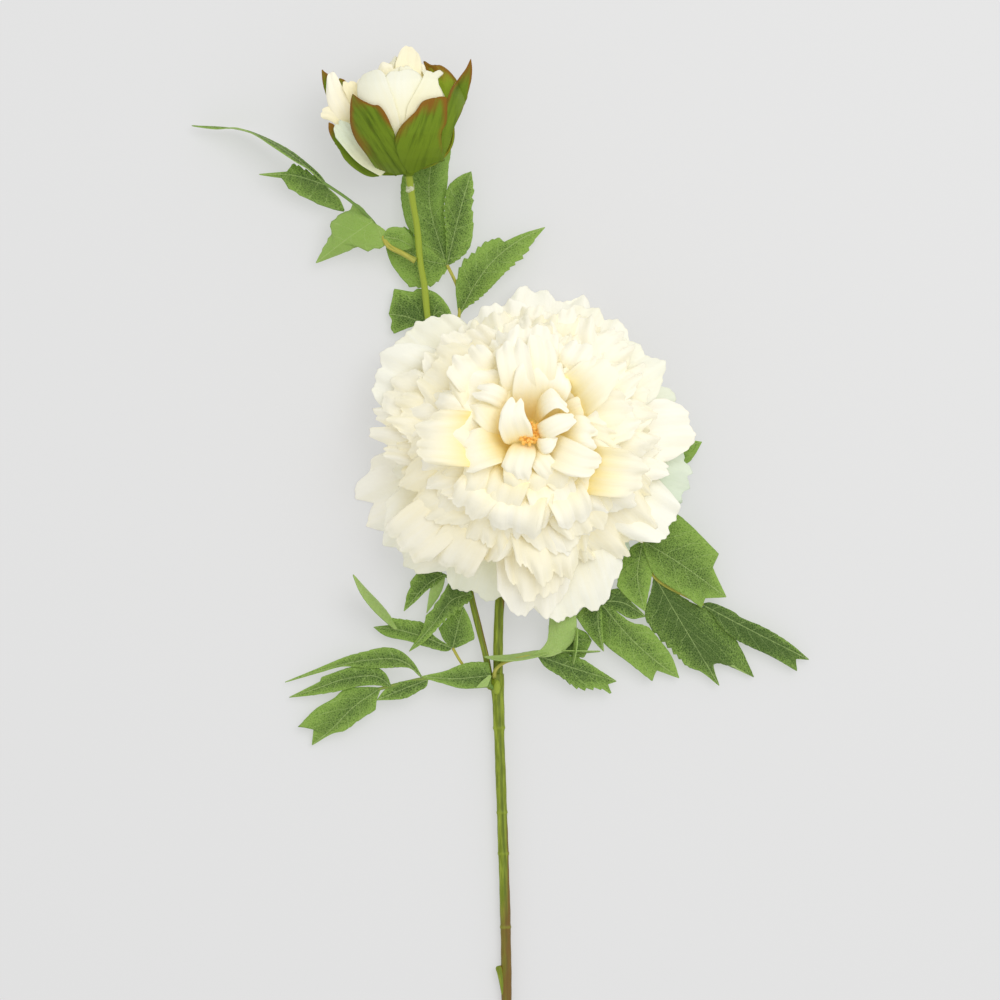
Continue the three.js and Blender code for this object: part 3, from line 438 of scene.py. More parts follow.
class Material:
    """Builds one material out of nodes on top of a Principled surface."""

    def __init__(self, name: str) -> None:
        """Starts an empty material.

        Args:
            name: Name of the material.
        """
        self.material = bpy.data.materials.new(name)
        self.material.use_nodes = True
        self.tree = self.material.node_tree
        self.surface = self.tree.nodes["Principled BSDF"]

    def node(self, kind: str, settings: Optional[dict] = None, inputs: Optional[dict] = None) -> bpy.types.Node:
        """Adds a node: its settings first, and then its sockets.

        Args:
            kind: Type of the node.
            settings: Properties of the node by name.
            inputs: Values or links by socket name or number.

        Returns:
            The node.
        """
        made = self.tree.nodes.new(kind)
        for name, setting in (settings or {}).items():
            setattr(made, name, setting)
        for name, entry in (inputs or {}).items():
            self.feed(made.inputs[name], entry)
        return made

    def feed(self, socket: bpy.types.NodeSocket, entry: object) -> None:
        """Gives a socket a value, a colour or a link.

        Args:
            socket: The socket.
            entry: A Value, another node's socket, a number or a tuple.
        """
        if isinstance(entry, Value):
            self.tree.links.new(entry.socket, socket)
        elif isinstance(entry, bpy.types.NodeSocket):
            self.tree.links.new(entry, socket)
        elif isinstance(entry, tuple) and len(socket.default_value) == 4:
            socket.default_value = (*entry, 1.0)
        else:
            socket.default_value = entry

    def value(self, name: str) -> Value:
        """The mesh's own value of that name."""
        return Value(self.tree, self.node("ShaderNodeAttribute", {"attribute_name": name}).outputs["Fac"])

    def cloth(self, stretch: tuple[float, float, float]) -> bpy.types.NodeSocket:
        """Place on the surface in millimetres, across and along it, stretched for a pattern.

        Args:
            stretch: Factors for the three parts of the place.

        Returns:
            The stretched place.
        """
        place = self.node("ShaderNodeAttribute", {"attribute_name": "cloth"}).outputs["Vector"]
        return self.node("ShaderNodeVectorMath", {"operation": "MULTIPLY"}, {0: place, 1: stretch}).outputs[0]

    def space(self) -> bpy.types.NodeSocket:
        """Place in the object's own space, in metres."""
        return self.node("ShaderNodeTexCoord").outputs["Object"]

    def noise(self, place: bpy.types.NodeSocket, scale: float, detail: float, roughness: float = 0.5) -> Value:
        """Soft noise from 0 to 1.

        Args:
            place: Where the pattern is read.
            scale: Features for each unit of place.
            detail: Number of finer layers.
            roughness: Strength of the finer layers.

        Returns:
            The noise.
        """
        made = self.node("ShaderNodeTexNoise", None,
                         {"Vector": place, "Scale": scale, "Detail": detail, "Roughness": roughness})
        return Value(self.tree, made.outputs["Fac"])

    def grain(self, across: float, along: float, detail: float, roughness: float = 0.5) -> Value:
        """Noise over the surface.

        Args:
            across: Features for each millimetre across.
            along: Features for each millimetre along.
            detail: Number of finer layers.
            roughness: Strength of the finer layers.

        Returns:
            The noise.
        """
        return self.noise(self.cloth((across, along, 1.0)), 1.0, detail, roughness)

    def cells(self, place: bpy.types.NodeSocket, scale: float) -> Value:
        """Distance to the nearest border between the cells of a random net.

        Args:
            place: Where the pattern is read.
            scale: Cells for each unit of place.

        Returns:
            The distance, in cells.
        """
        made = self.node("ShaderNodeTexVoronoi", {"feature": "DISTANCE_TO_EDGE"},
                         {"Vector": place, "Scale": scale})
        return Value(self.tree, made.outputs["Distance"])

    def blend(self, share: Operand, first: object, second: object, how: str = "MIX") -> bpy.types.NodeSocket:
        """Mixes two colours.

        Args:
            share: How much of the second colour there is.
            first: First colour, or its socket.
            second: Second colour, or its socket.
            how: Way of mixing.

        Returns:
            The mixed colour.
        """
        made = self.node("ShaderNodeMix", {"data_type": "RGBA", "blend_type": how})
        self.feed(made.inputs[0], share)
        self.feed(made.inputs[6], first)
        self.feed(made.inputs[7], second)
        return made.outputs[2]

    def relief(self, height: Value, depth: float, strength: float) -> bpy.types.NodeSocket:
        """A bumped normal from a height.

        Args:
            height: Height from 0 to 1.
            depth: Depth that 1 stands for, in metres.
            strength: Strength of the bump.

        Returns:
            The normal.
        """
        made = self.node("ShaderNodeBump", None, {"Strength": strength, "Distance": depth, "Height": height})
        return made.outputs["Normal"]

    def finish(self, **sockets: object) -> bpy.types.Material:
        """Feeds the surface; underscores in the names stand for spaces.

        Args:
            **sockets: Values or links for the surface's sockets.

        Returns:
            The finished material.
        """
        for name, entry in sockets.items():
            self.feed(self.surface.inputs[name.replace("_", " ")], entry)
        return self.material


# ---------------------------------------------------------------- studio, in metres and watts
FLOOR_HEIGHT = -0.0004
FLOOR_REACH = 6.0
LAMP_AIM = (0.0, 0.0, 0.05)
LAMP_PLACE = (0.40, 0.42, 1.3)
LAMP_SIZE = 0.9
LAMP_POWER = 7.0
WORLD_STRENGTH = 0.71
SENSOR_WIDTH = 36.0  # in millimetres, as the lens

# ---------------------------------------------------------------- sizes, in millimetres
FLOOR_CLEARANCE = 0.4
LEAF_THICKNESS = 0.5
PETAL_THICKNESS = 0.45
SEPAL_THICKNESS = 0.8
LEAF_COLUMNS = 15
LEAF_STEP = 0.7
STALK_STEP = 1.2
RIB_RADIUS = 0.5
RIB_DEPTH = 0.75
SHARP_CORNER = 48.0  # in degrees
TOOTH = 3.6
VEIN_SPACING = 7.0
VEIN_SLANT = 0.95

BLOOM_BASE = (3.0, 8.0)
BLOOM_LEAN = (1.6, 8.5)
BLOOM_TOP = 84.0
RECEPTACLE_HEIGHT = 24.0
LAYER_STEP = 3.2
RING_STEP = 4.0
OUTER_WRAP = 160.0
RING_WRAP = 34.0
CALYX_WRAP = 60.0
STAMEN_COUNT = 44
STAMEN_HEIGHTS = (56.0, 78.0)
STAMEN_SPREAD = 4.4
STAMEN_RADII = (0.24, 0.75)
STAMEN_HEAD = 1.5
GOLDEN_ANGLE = 2.399963  # in radians
LOBE = 6.5
EYE = (3.9, 16.0)
DOME_PROFILE = ((1.0, 48.0), (11.0, 50.0), (10.5, 54.0), (8.0, 57.5), (5.0, 59.5), (1.0, 60.3))

GUARDS = (
    (104, 69, 28, 20, 2, 0.03, 0.0), (78, 80.5, 0.2, 24, 0, 0.05, 0.05), (60, 76, 16, 18, 1, 0.02, 0.1),
    (38, 73.5, 27, 18, 2, 0.06, 0.2), (19, 74, 9, 17, 0, 0.04, 0.5), (8, 77.5, 26, 14, 2, 0.03, 0.0),
    (-8, 77.5, 15, 17, 1, 0.05, 0.9), (-18, 76.5, 0.2, 17, 0, 0.04, 1.0), (-27, 76, 28, 15, 2, 0.03, 0.1),
    (-43, 64.5, 13, 20, 0, 0.02, 1.0), (-70, 78.5, 20, 24, 1, 0.03, 0.1), (-87, 76, 28, 17, 2, 0.05, 0.0),
    (-111, 69.5, 14, 19, 0, 0.03, 0.3), (-142, 76, 19, 22, 1, 0.04, 0.1), (-163, 79, 0.2, 20, 0, 0.05, 0.0),
    (175, 65, 15, 18, 1, 0.04, 0.1), (150, 79, 27, 18, 2, 0.03, 0.1), (134, 81, 14, 21, 0, 0.05, 0.1),
)
CALYX_PROFILE = (
    (1.2, 18.2), (3.4, 18.2), (5.6, 18.4), (8.0, 19.0), (10.8, 20.1), (13.5, 21.7), (13.5, 23.7), (1.0, 23.7),
)

STEM_RADIUS = 2.4
STEM_PATH = (
    (-5, -324, 2.4), (-6, -262, 2.8), (-6.6, -212, 3.6), (-8.3, -157, 4.9), (-9.8, -112, 5.8), (-10, -77, 5.6),
    (-9.1, -58, 5.0), (-5.6, -28, 3.2), (-2, -12, 2.1), (0, 0, 2.1), (0.8, 4, 3.8), (2, 7.2, 8.5), (2.8, 8, 14),
    (3, 8, 17.7),
)
STEM_SEAMS = (-119.0, -158.0, -177.0, -211.0)
SEAM_RISE = 0.3
STUB_RADIUS = 1.5
STRIPE_WIDTH = 0.11  # share of a turn, as the next two
GROOVE_TURN = 0.225
GROOVE_WIDTH = 0.05
LUG_RADIUS = 1.7
LUG_STRETCH = 2.1
LUG_PLACE = (-10.6, -100.1, 8.1)
STUB_PATH = ((-6.9, -243, 3.4), (-8.2, -236, 3.8), (-9.8, -229, 4.2))
COLLAR_RADIUS = 3.3
COLLAR_SPAN = (-108.0, -93.5)
COLLAR_PLACE = (-10.0, 5.9)
BUD_STEM_RADIUS = 1.5
BUD_STEM_PATH = (
    (-13.2, -101, 6.2), (-15.6, -86.5, 6.4), (-18.9, -73, 6.6), (-22.3, -59, 6.6), (-29, -20, 5.2),
    (-36, 25, 5.2), (-42.6, 71, 9.2), (-43.9, 84, 11.6), (-45.9, 96, 14.4), (-47.2, 111, 18),
    (-49.3, 123.5, 22.6), (-50.9, 135, 27.7),
)
GLUE_RADIUS = 1.9
GLUE_PLACE = (-50.2, 129.0, 25.0)
BUD_BASE = (-51.0, 135.5, 28.0)
BUD_AXIS = (-0.08, 1.0, 0.07)
BUD_BODY = (
    (-4, 1.5), (0, 4), (2, 10), (5, 16.5), (9, 21), (15, 24.5), (24, 26), (32, 25.5), (40, 22.5), (46, 17),
    (50, 11), (54, 6), (60, 4),
)
CUP_PROFILE = ((2.0, -1.6), (2.6, -0.6), (4.2, 0.6), (5.0, 2.7))
PETAL_GRID = (46, 48)
LOOSE_GRID = (46, 44)
BUD_GRID = (48, 48)
BUD_LOOSE_GRID = (46, 36)
SEPAL_GRID = (50, 40)
CALYX_GRID = (34, 24)


# ---------------------------------------------------------------- finishes
class Slot(Enum):
    """Material slots of the record."""

    STEM = "stem"
    COLLAR = "collar"
    SEPAL = "sepal"
    PETAL = "petal"
    STAMEN = "stamen"
    LEAF = "leaf"


def shade(red: int, green: int, blue: int) -> Colour:
    """A display colour of 0 to 255 as the light that it stands for.

    Args:
        red: Red part.
        green: Green part.
        blue: Blue part.

    Returns:
        Parts from 0 to 1 on a linear scale.
    """
    parts = [part / 255.0 for part in (red, green, blue)]
    light = [part / 12.92 if part <= 0.04045 else ((part + 0.055) / 1.055) ** 2.4 for part in parts]
    return light[0], light[1], light[2]


@dataclass(frozen=True)
class PetalFinish:
    """Cream fabric petals: golden at the root, pale at the margin, finely creased lengthwise, with a faint
    painted glow. The golden, warmer root is partly the petals' own colour and partly painted warm shade deep in
    the bloom.

    Attributes:
        name: Name of the material.
        pale: Colour of most of the petal.
        warm: Colour of the warmer petals, and of the painted warm shade toward their roots.
        golden: Colour at the root of the inner petals: partly their own golden throat, partly painted warm
            shade deep in the bloom.
        green: Colour of the outermost petals.
        through: Colour of the painted glow, an emission that stands in for light coming through the fabric.
        crease: Depth of the fine creases, in metres.
    """

    name: str = "cream_petal_fabric"
    pale: Colour = shade(253, 251, 240)
    warm: Colour = shade(250, 242, 206)
    golden: Colour = shade(251, 230, 152)
    green: Colour = shade(216, 228, 206)
    through: Colour = shade(255, 243, 196)
    crease: float = 0.00045

    def make(self) -> bpy.types.Material:
        """Builds the material.

        Returns:
            The material.
        """
        m = Material(self.name)
        streak = m.grain(0.55, 0.04, 3.0, 0.55)
        cloud = m.grain(0.06, 0.05, 2.0)
        # Warmer and golden toward the root: partly the petals' own colour, partly painted warm shade deep in
        # the bloom.
        warmth = (cloud * 0.6 + streak * 0.5 - 0.3 + m.value("warmth") * 0.8).clamped()
        green = (m.value("green") * (0.7 + 0.5 * cloud)).clamped()
        outer = m.blend(green, m.blend(warmth, self.pale, self.warm), self.green)
        glow = (m.value("gold") * (0.6 + 0.8 * streak)).clamped()
        lit = m.blend(glow, outer, self.golden)
        crinkle = m.grain(1.3, 0.09, 4.0, 0.6)
        weave = m.grain(6.0, 6.0, 1.0)
        return m.finish(
            Base_Color=lit,
            Roughness=0.65 + 0.2 * streak,
            Specular_IOR_Level=0.15,
            # Emission: a faint painted glow that stands in for light coming through the fabric and lifts the
            # shaded folds.
            Emission_Color=m.blend(1.0, lit, m.blend(green, self.through, self.green), "MULTIPLY"),
            Emission_Strength=0.07,
            Normal=m.relief(crinkle + 0.15 * weave, self.crease, 0.35),
        )


@dataclass(frozen=True)
class LeafFinish:
    """Printed fabric leaves: dark speckle round a pale midrib, thin side veins, and fresh green margins.

    Attributes:
        name: Name of the material.
        fresh: Colour of the blade near its margins.
        deep: Colour of its dark speckle.
        vein: Colour of the veins.
        under: Colour of the underside.
    """

    name: str = "printed_leaf_fabric"
    fresh: Colour = shade(138, 172, 73)
    deep: Colour = shade(64, 92, 32)
    vein: Colour = shade(176, 200, 124)
    under: Colour = shade(172, 198, 120)

    def make(self) -> bpy.types.Material:
        """Builds the material.

        Returns:
            The material.
        """
        m = Material(self.name)
        across, along = m.value("across"), m.value("along")
        wobble = m.grain(0.16, 0.16, 3.0)
        slanted = (along - VEIN_SLANT * across.size()) / VEIN_SPACING + 0.5 * (across > 0.0) + 0.55 * wobble
        side = ((slanted.fraction() - 0.5).size() * 2.0).between(0.925, 0.99)
        net = 1.0 - m.cells(m.cloth((1.25, 1.0, 1.0)), 0.9).between(0.03, 0.25)
        speckle = m.grain(2.1, 1.5, 4.0, 0.8).between(0.36, 0.64)
        broken = m.grain(0.5, 0.5, 2.0).between(0.35, 0.6)
        rib = 1.0 - across.size().between(0.08, 0.36)
        veins = (0.8 * side * (0.2 + 0.8 * broken) + 0.95 * rib * (0.5 + 0.5 * broken)).clamped()
        patch = m.grain(0.05, 0.05, 3.0, 0.6) - 0.5
        dark = (0.9 * m.value("depth") + patch + 0.8 * (speckle - 0.5) - 0.3 * net).between(-0.1, 0.8)
        pale = (-0.25 * m.value("depth") + 0.3 * patch).clamped()
        ground = m.blend(pale, m.blend(dark, self.fresh, self.deep), self.under)
        top = m.blend((veins * 0.6 + 0.14 * net).clamped(), ground, self.vein)
        below = m.blend((0.45 * speckle * (0.4 + m.value("depth"))).clamped(), self.under, self.fresh)
        grain = m.grain(5.0, 5.0, 2.0)
        return m.finish(
            Base_Color=m.blend(m.value("front"), below, top),
            Roughness=0.6 + 0.2 * grain,
            Specular_IOR_Level=0.25,
            Subsurface_Weight=0.08,
            Subsurface_Radius=(0.5, 0.9, 0.2),
            Subsurface_Scale=0.0015,
            Normal=m.relief(0.6 * veins + 0.5 * net + 0.25 * grain, 0.0003, 0.55),
        )


@dataclass(frozen=True)
class SepalFinish:
    """Olive sepals, streaked lengthwise, with russet margins and tips.

    Attributes:
        name: Name of the material.
        olive: Colour of most of the sepal.
        dark: Colour of its streaks.
        inner: Colour of its inner face.
        russet: Colour of margins and tip.
    """

    name: str = "olive_sepal_fabric"
    olive: Colour = shade(112, 136, 30)
    dark: Colour = shade(66, 88, 12)
    inner: Colour = shade(146, 168, 46)
    russet: Colour = shade(142, 88, 26)

    def make(self) -> bpy.types.Material:
        """Builds the material.

        Returns:
            The material.
        """
        m = Material(self.name)
        streak = m.grain(0.55, 0.05, 4.0, 0.6)
        cloud = m.grain(0.09, 0.06, 2.0)
        body = m.blend((1.5 * cloud * streak.between(0.46, 0.72)).clamped(), self.olive, self.dark)
        body = m.blend(m.value("front"), self.inner, body)
        rust = (m.value("rust") + 1.1 * cloud - 0.6 + 0.7 * (streak - 0.5)).between(0.16, 0.7)
        return m.finish(
            Base_Color=m.blend(rust * 0.85, body, self.russet),
            Roughness=0.5 + 0.25 * streak,
            Specular_IOR_Level=0.15,
            Subsurface_Weight=0.08,
            Subsurface_Radius=(0.6, 0.8, 0.2),
            Subsurface_Scale=0.0015,
            Normal=m.relief(streak + 0.4 * cloud, 0.0004, 0.6),
        )


@dataclass(frozen=True)
class StemFinish:
    """Moulded plastic stem: olive with fine lengthwise streaks, painted shade in its lengthwise groove, and a
    reddish stripe down one side.

    Attributes:
        name: Name of the material.
        olive: Colour of most of the stem.
        light: Colour of its paler streaks.
        dark: Colour of the painted shade in the lengthwise groove.
        red: Colour of the stripe.
    """

    name: str = "moulded_stem"
    olive: Colour = shade(115, 131, 12)
    light: Colour = shade(156, 174, 52)
    dark: Colour = shade(78, 94, 12)
    red: Colour = shade(118, 78, 28)

    def make(self) -> bpy.types.Material:
        """Builds the material.

        Returns:
            The material.
        """
        m = Material(self.name)
        streak = m.grain(14.0, 0.09, 3.0, 0.6)
        patch = m.grain(3.0, 0.05, 2.0)
        body = m.blend(streak.between(0.42, 0.66), self.olive, self.light)
        # Painted shade along the lengthwise groove.
        body = m.blend((m.value("groove") * (0.5 + patch)).clamped(), body, self.dark)
        red = (m.value("blush") + 0.5 * (patch - 0.5) + 0.35 * (streak - 0.5)).between(0.3, 0.6)
        body = m.blend(red * 0.85, body, self.red)
        grain = m.grain(40.0, 2.2, 2.0)
        return m.finish(
            Base_Color=m.blend((m.value("seam") * 0.7).clamped(), body, self.light),
            Roughness=0.42 + 0.2 * streak,
            Specular_IOR_Level=0.4,
            Normal=m.relief(grain + streak, 0.0002, 0.5),
        )


@dataclass(frozen=True)
class StalkFinish:
    """Leaf stalks: yellow plastic that turns to leaf green, with fine lengthwise streaks.

    Attributes:
        name: Name of the material.
        yellow: Colour of the yellow parts.
        olive: Colour of their shaded streaks.
        green: Colour of the green parts.
    """

    name: str = "leaf_stalk"
    yellow: Colour = shade(198, 190, 84)
    olive: Colour = shade(158, 158, 60)
    green: Colour = shade(118, 150, 70)

    def make(self) -> bpy.types.Material:
        """Builds the material.

        Returns:
            The material.
        """
        m = Material(self.name)
        streak = m.grain(9.0, 0.12, 3.0, 0.6)
        body = m.blend(streak.between(0.4, 0.66), self.yellow, self.olive)
        green = (m.value("green") + 0.5 * (streak - 0.5) + m.value("blush")).clamped()
        grain = m.grain(30.0, 2.0, 2.0)
        return m.finish(
            Base_Color=m.blend(green, body, self.green),
            Roughness=0.48 + 0.2 * streak,
            Specular_IOR_Level=0.35,
            Normal=m.relief(grain + streak, 0.0002, 0.5),
        )


@dataclass(frozen=True)
class StamenFinish:
    """Orange stamens with grainy heads and a faint painted glow.

    Attributes:
        name: Name of the material.
        thread: Colour of the threads.
        head: Colour of the heads.
    """

    name: str = "orange_stamens"
    thread: Colour = shade(246, 216, 140)
    head: Colour = shade(244, 190, 92)

    def make(self) -> bpy.types.Material:
        """Builds the material.

        Returns:
            The material.
        """
        m = Material(self.name)
        grain = m.noise(m.space(), 1600.0, 2.0)
        colour = m.blend(m.value("head"), self.thread, self.head)
        return m.finish(
            Base_Color=m.blend(0.35 * grain, colour, self.thread),
            Roughness=0.6 + 0.2 * grain,
            # A faint painted glow in the stamens' own colour.
            Emission_Color=colour,
            Emission_Strength=0.12,
            Normal=m.relief(grain, 0.0003, 0.7),
        )


@dataclass(frozen=True)
class GlueFinish:
    """Whitish dried glue over olive plastic.

    Attributes:
        name: Name of the material.
        milky: Colour of the glue.
        clear: Colour where it is thin.
    """

    name: str = "dried_glue"
    milky: Colour = shade(206, 208, 176)
    clear: Colour = shade(150, 164, 92)

    def make(self) -> bpy.types.Material:
        """Builds the material.

        Returns:
            The material.
        """
        m = Material(self.name)
        cloud = m.noise(m.space(), 700.0, 3.0)
        return m.finish(
            Base_Color=m.blend(cloud.between(0.4, 0.65), self.milky, self.clear),
            Roughness=0.2 + 0.3 * cloud,
            Specular_IOR_Level=0.5,
            Normal=m.relief(cloud, 0.0003, 0.6),
        )


@dataclass(frozen=True)
class FloorFinish:
    """Plain pale studio floor.

    Attributes:
        name: Name of the material.
        grey: Colour of the floor.
        glow: Share of its light that doesn't come from the lamps, which keeps its shadows faint.
    """

    name: str = "pale_floor"
    grey: Colour = shade(229, 229, 229)
    glow: float = 0.55

    def make(self) -> bpy.types.Material:
        """Builds the material.

        Returns:
            The material.
        """
        m = Material(self.name)
        dim = tuple(part * (1.0 - self.glow) for part in self.grey)
        return m.finish(
            Base_Color=dim,
            Roughness=1.0,
            Specular_IOR_Level=0.0,
            Emission_Color=self.grey,
            Emission_Strength=self.glow,
        )


def dress(piece: bpy.types.Object, material: bpy.types.Material, slot: Slot, *nodes: str) -> None:
    """Gives a piece its material, seats it on the model and hides the nodes that it stands for.

    Args:
        piece: The finished piece.
        material: Its material.
        slot: The record's slot; not used.
        *nodes: Nodes that it replaces.
    """
    piece.data.materials.append(material)
    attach(piece, "root")
    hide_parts(*nodes)
    LOG.info("%s: %d faces", piece.name, len(piece.data.polygons))


# ---------------------------------------------------------------- plates and leaves
class Side(Enum):
    """The two halves of a plate, with the sign that turns the rib's direction towards each."""

    LEFT = 1
    RIGHT = -1


@dataclass(frozen=True)
class Relief:
    """How far a plate departs from a plain ruled sheet, in millimetres.

    Attributes:
        tooth: Depth of the teeth in the margin.
        puff: Height of the puffs between the side veins.
        wave: Height of the slow wave in the margin.
        groove: Depth of the groove over the rib.
    """

    tooth: float
    puff: float
    wave: float
    groove: float


@dataclass(frozen=True)
class Plate:
    """A thin blade with a rib: a leaflet, or a sheet of the bud that lies on the bud's body.

    Attributes:
        rib: Points along the midrib, from the base to the tip.
        left: Corners of the outline on the left of the rib, from the base to the tip.
        right: Corners of the outline on its right.
        fold: Drop of the margin for each millimetre out from the rib.
        stand: Rise of the left margin, and drop of the right one, halfway along.
        layer: Height over the bud's body, for a sheet that lies on it.
        teeth: Strength of the teeth in its margin.
        face_down: Whether it lies with its underside up.
        warmth: Warmer tint of a petal, or paler green of a leaflet.
    """

    rib: Sequence[tuple[float, float, float]]
    left: Sequence[tuple[float, float]]
    right: Sequence[tuple[float, float]]
    fold: float = 0.1
    stand: float = 0.0
    layer: Optional[float] = None
    teeth: float = 0.2
    face_down: bool = False
    warmth: float = 0.0

    def length(self) -> float:
        """Length of the rib."""
        return line_length(self.rib)

    def margin(self, side: Side, stations: Array) -> Array:
        """Outline of one side at shares of its length.

        The outline is smooth between its sharp corners, which are kept, and starts and ends a little
        beside the rib's ends.

        Args:
            side: Which half.
            stations: Shares of the outline's length.

        Returns:
            Points in plan.
        """
        ends = np.array([self.rib[0][:2], self.rib[-1][:2]])
        run = unit(ends[1] - ends[0])
        beside = np.array([-run[1], run[0]]) * side.value
        marks = self.left if side is Side.LEFT else self.right
        corners = np.vstack([ends[0] + 0.6 * beside, np.asarray(marks, dtype=float), ends[1] + 0.15 * beside])
        steps = unit(np.diff(corners, axis=0))
        bend = np.degrees(np.arccos(np.clip(np.einsum("ij,ij->i", steps[:-1], steps[1:]), -1.0, 1.0)))
        sharp = [0, *(k + 1 for k in range(len(bend)) if bend[k] > SHARP_CORNER), len(corners) - 1]
        runs = []
        for first, last in zip(sharp[:-1], sharp[1:]):
            stretch = corners[first:last + 1]
            shares = np.linspace(0.0, 1.0, 12 * (last - first) + 1)
            runs.append(smooth_line(stretch, shares) if last - first > 1 else along_line(stretch, shares))
        return along_line(np.vstack(runs), stations)

    def half(self, side: Side, u: Array, rib: Array, seed: float, relief: Relief) -> tuple[Array, Array]:
        """One half of the blade, ruled from the rib out to the margin.

        Height falls from the rib by the fold times the distance out, or follows the bud's body. Added to
        it are the rise or drop of a standing blade, a slow sine wave that grows towards the margin,
        shallow puffs between the side veins, and a groove over the rib. A sawtooth that points to the tip
        moves the margin in and out.

        Args:
            side: Which half.
            u: Shares of the rib's length, one for each row.
            rib: Points of the rib.
            seed: Number that makes each blade's waves its own.
            relief: Depths of the waves and teeth.

        Returns:
            The grid of points and the distance out at each.
        """
        span = u * self.length()
        edge = self.margin(side, u)
        out = np.linalg.norm(edge - rib[:, :2], axis=1)
        saw = (span / TOOTH + 0.8 * np.sin(span / 9.0 + 5.0 * seed) + 3.0 * chance(seed)) % 1.0 - 0.5
        depth = relief.tooth * self.teeth * np.sin(np.pi * np.clip(u * 1.04, 0.0, 1.0)) ** 0.5
        depth = depth * (0.6 + 0.5 * np.sin(span / 6.1 + 7.0 * seed))
        edge = edge + unit(edge - rib[:, :2]) * (depth * saw * np.minimum(1.0, out / 4.0))[:, None]
        share = np.linspace(0.0, 1.0, LEAF_COLUMNS)[None, :]
        plan = rib[:, None, :2] + (edge - rib[:, :2])[:, None] * share[..., None]
        distance = out[:, None] * share
        if self.layer is None:
            height = rib[:, None, 2] + (side.value * self.stand * np.sin(np.pi * u))[:, None] * share
            height = height - self.fold * distance
        else:
            height = bud_height(plan, self.layer)
        vein = (span[:, None] - VEIN_SLANT * distance) / VEIN_SPACING + (0.5 if side is Side.RIGHT else 0.0)
        puff = np.abs(np.sin(np.pi * vein)) ** 0.7 * np.minimum(1.0, distance / 3.0) * (1.0 - share ** 4)
        wave = np.sin(span[:, None] / 5.6 + 5.0 * seed + 2.0 * side.value) * share ** 2
        lift = relief.puff * puff + relief.wave * wave * np.minimum(1.0, out / 8.0)[:, None]
        lift = (lift - relief.groove * np.exp(-(distance / 0.9) ** 2)) * np.sin(np.pi * u)[:, None] ** 0.3
        return np.concatenate([plan, (height + lift)[..., None]], axis=-1), distance * -side.value

    def blade(self, seed: float, relief: Relief) -> tuple[Array, dict[str, Array]]:
        """The whole blade as a grid.

        Args:
            seed: Number that makes each blade's waves its own.
            relief: Depths of the waves and teeth.

        Returns:
            The grid of points and its values.
        """
        rows = int(np.clip(self.length() / LEAF_STEP, 30, 130))
        u = np.linspace(0.0, 1.0, rows)
        rib = smooth_line(self.rib, u)
        left, left_out = self.half(Side.LEFT, u, rib, seed, relief)
        right, right_out = self.half(Side.RIGHT, u, rib, seed + 0.5, relief)
        middle = np.concatenate([left[:, :0:-1], right], axis=1)
        across = np.concatenate([left_out[:, :0:-1], right_out], axis=1)
        keep_above(middle, FLOOR_CLEARANCE)
        along = np.repeat(u[:, None], middle.shape[1], axis=1)
        side = np.abs(np.linspace(-1.0, 1.0, middle.shape[1]))[None, :] * np.ones((rows, 1))
        if self.face_down:
            middle, across, side = middle[:, ::-1], across[:, ::-1], side[:, ::-1]
        data = {
            "across": across,
            "along": along * self.length(),
            "cloth": np.stack([across, along * self.length(), np.full_like(across, 37.0 * seed)], axis=-1),
            "share": along,
            "side": side,
        }
        return middle, data


@dataclass(frozen=True)
class Stalk:
    """A round leaf stalk.

    Attributes:
        radius: Its radius.
        path: Points along its middle.
        green: Share of leaf green in its colour; a young stalk is yellow.
    """

    radius: float
    path: Sequence[tuple[float, float, float]]
    green: float = 0.0


@dataclass(frozen=True)
class Leaf:
    """A compound leaf: stalks that carry several blades.

    Attributes:
        node: Name of the node that it stands for.
        stalks: Its stalks.
        leaflets: Its blades.
    """

    node: str
    stalks: Sequence[Stalk]
    leaflets: Sequence[Plate]

    def build(self, blade: bpy.types.Material, stalk: bpy.types.Material, seed: float) -> None:
        """Builds the blades, and the stalks with the ribs under the blades, as two pieces on one node.

        The depth of a blade's colour falls from the rib to the margin and from the base to the tip, and by
        a leaflet's own warmth.

        Args:
            blade: Material of the blades.
            stalk: Material of the stalks.
            seed: Number that makes the leaf its own.
        """
        blades = Sculpture()
        for k, leaflet in enumerate(self.leaflets):
            middle, data = leaflet.blade(seed + 0.37 * k, LEAF_RELIEF)
            centre = 1.0 - 0.75 * data.pop("side") ** 1.5 - 0.55 * data.pop("share") ** 1.5
            centre = centre + 0.35 * (chance(seed + k) - 0.5) - 1.6 * leaflet.warmth
            blades.sheet(middle, LEAF_THICKNESS, {**data, "depth": centre})
        dress(blades.build(self.node + "_blades"), blade, Slot.LEAF, self.node)
        stems = Sculpture()
        for made in self.stalks:
            stations = np.linspace(0.0, 1.0, max(12, int(line_length(made.path) / STALK_STEP)))
            path = smooth_line(made.path, stations)
            radius = made.radius * (0.86 + 0.25 * np.exp(-(stations / 0.10) ** 2))
            stems.tube(path, radius, 14, {"blush": 0.3 * np.exp(-stations * 4.0),
                                          "green": 0 * stations + made.green})
        for leaflet in self.leaflets:
            stations = np.linspace(0.0, 0.93, 40)
            path = smooth_line(leaflet.rib, stations)
            path[:, 2] -= RIB_DEPTH
            keep_above(path, FLOOR_CLEARANCE)
            stems.tube(path, RIB_RADIUS * (1.0 - 0.75 * stations), 8,
                       {"blush": 0 * stations, "green": 0 * stations + 0.8})
        dress(stems.build(self.node + "_stalks"), stalk, Slot.LEAF, self.node)


LEAF_RELIEF = Relief(tooth=1.7, puff=0.25, wave=0.7, groove=0.3)
SEPAL_RELIEF = Relief(tooth=0.2, puff=0.1, wave=0.5, groove=-0.1)
BUD_RELIEF = Relief(tooth=0.15, puff=0.0, wave=0.6, groove=0.0)

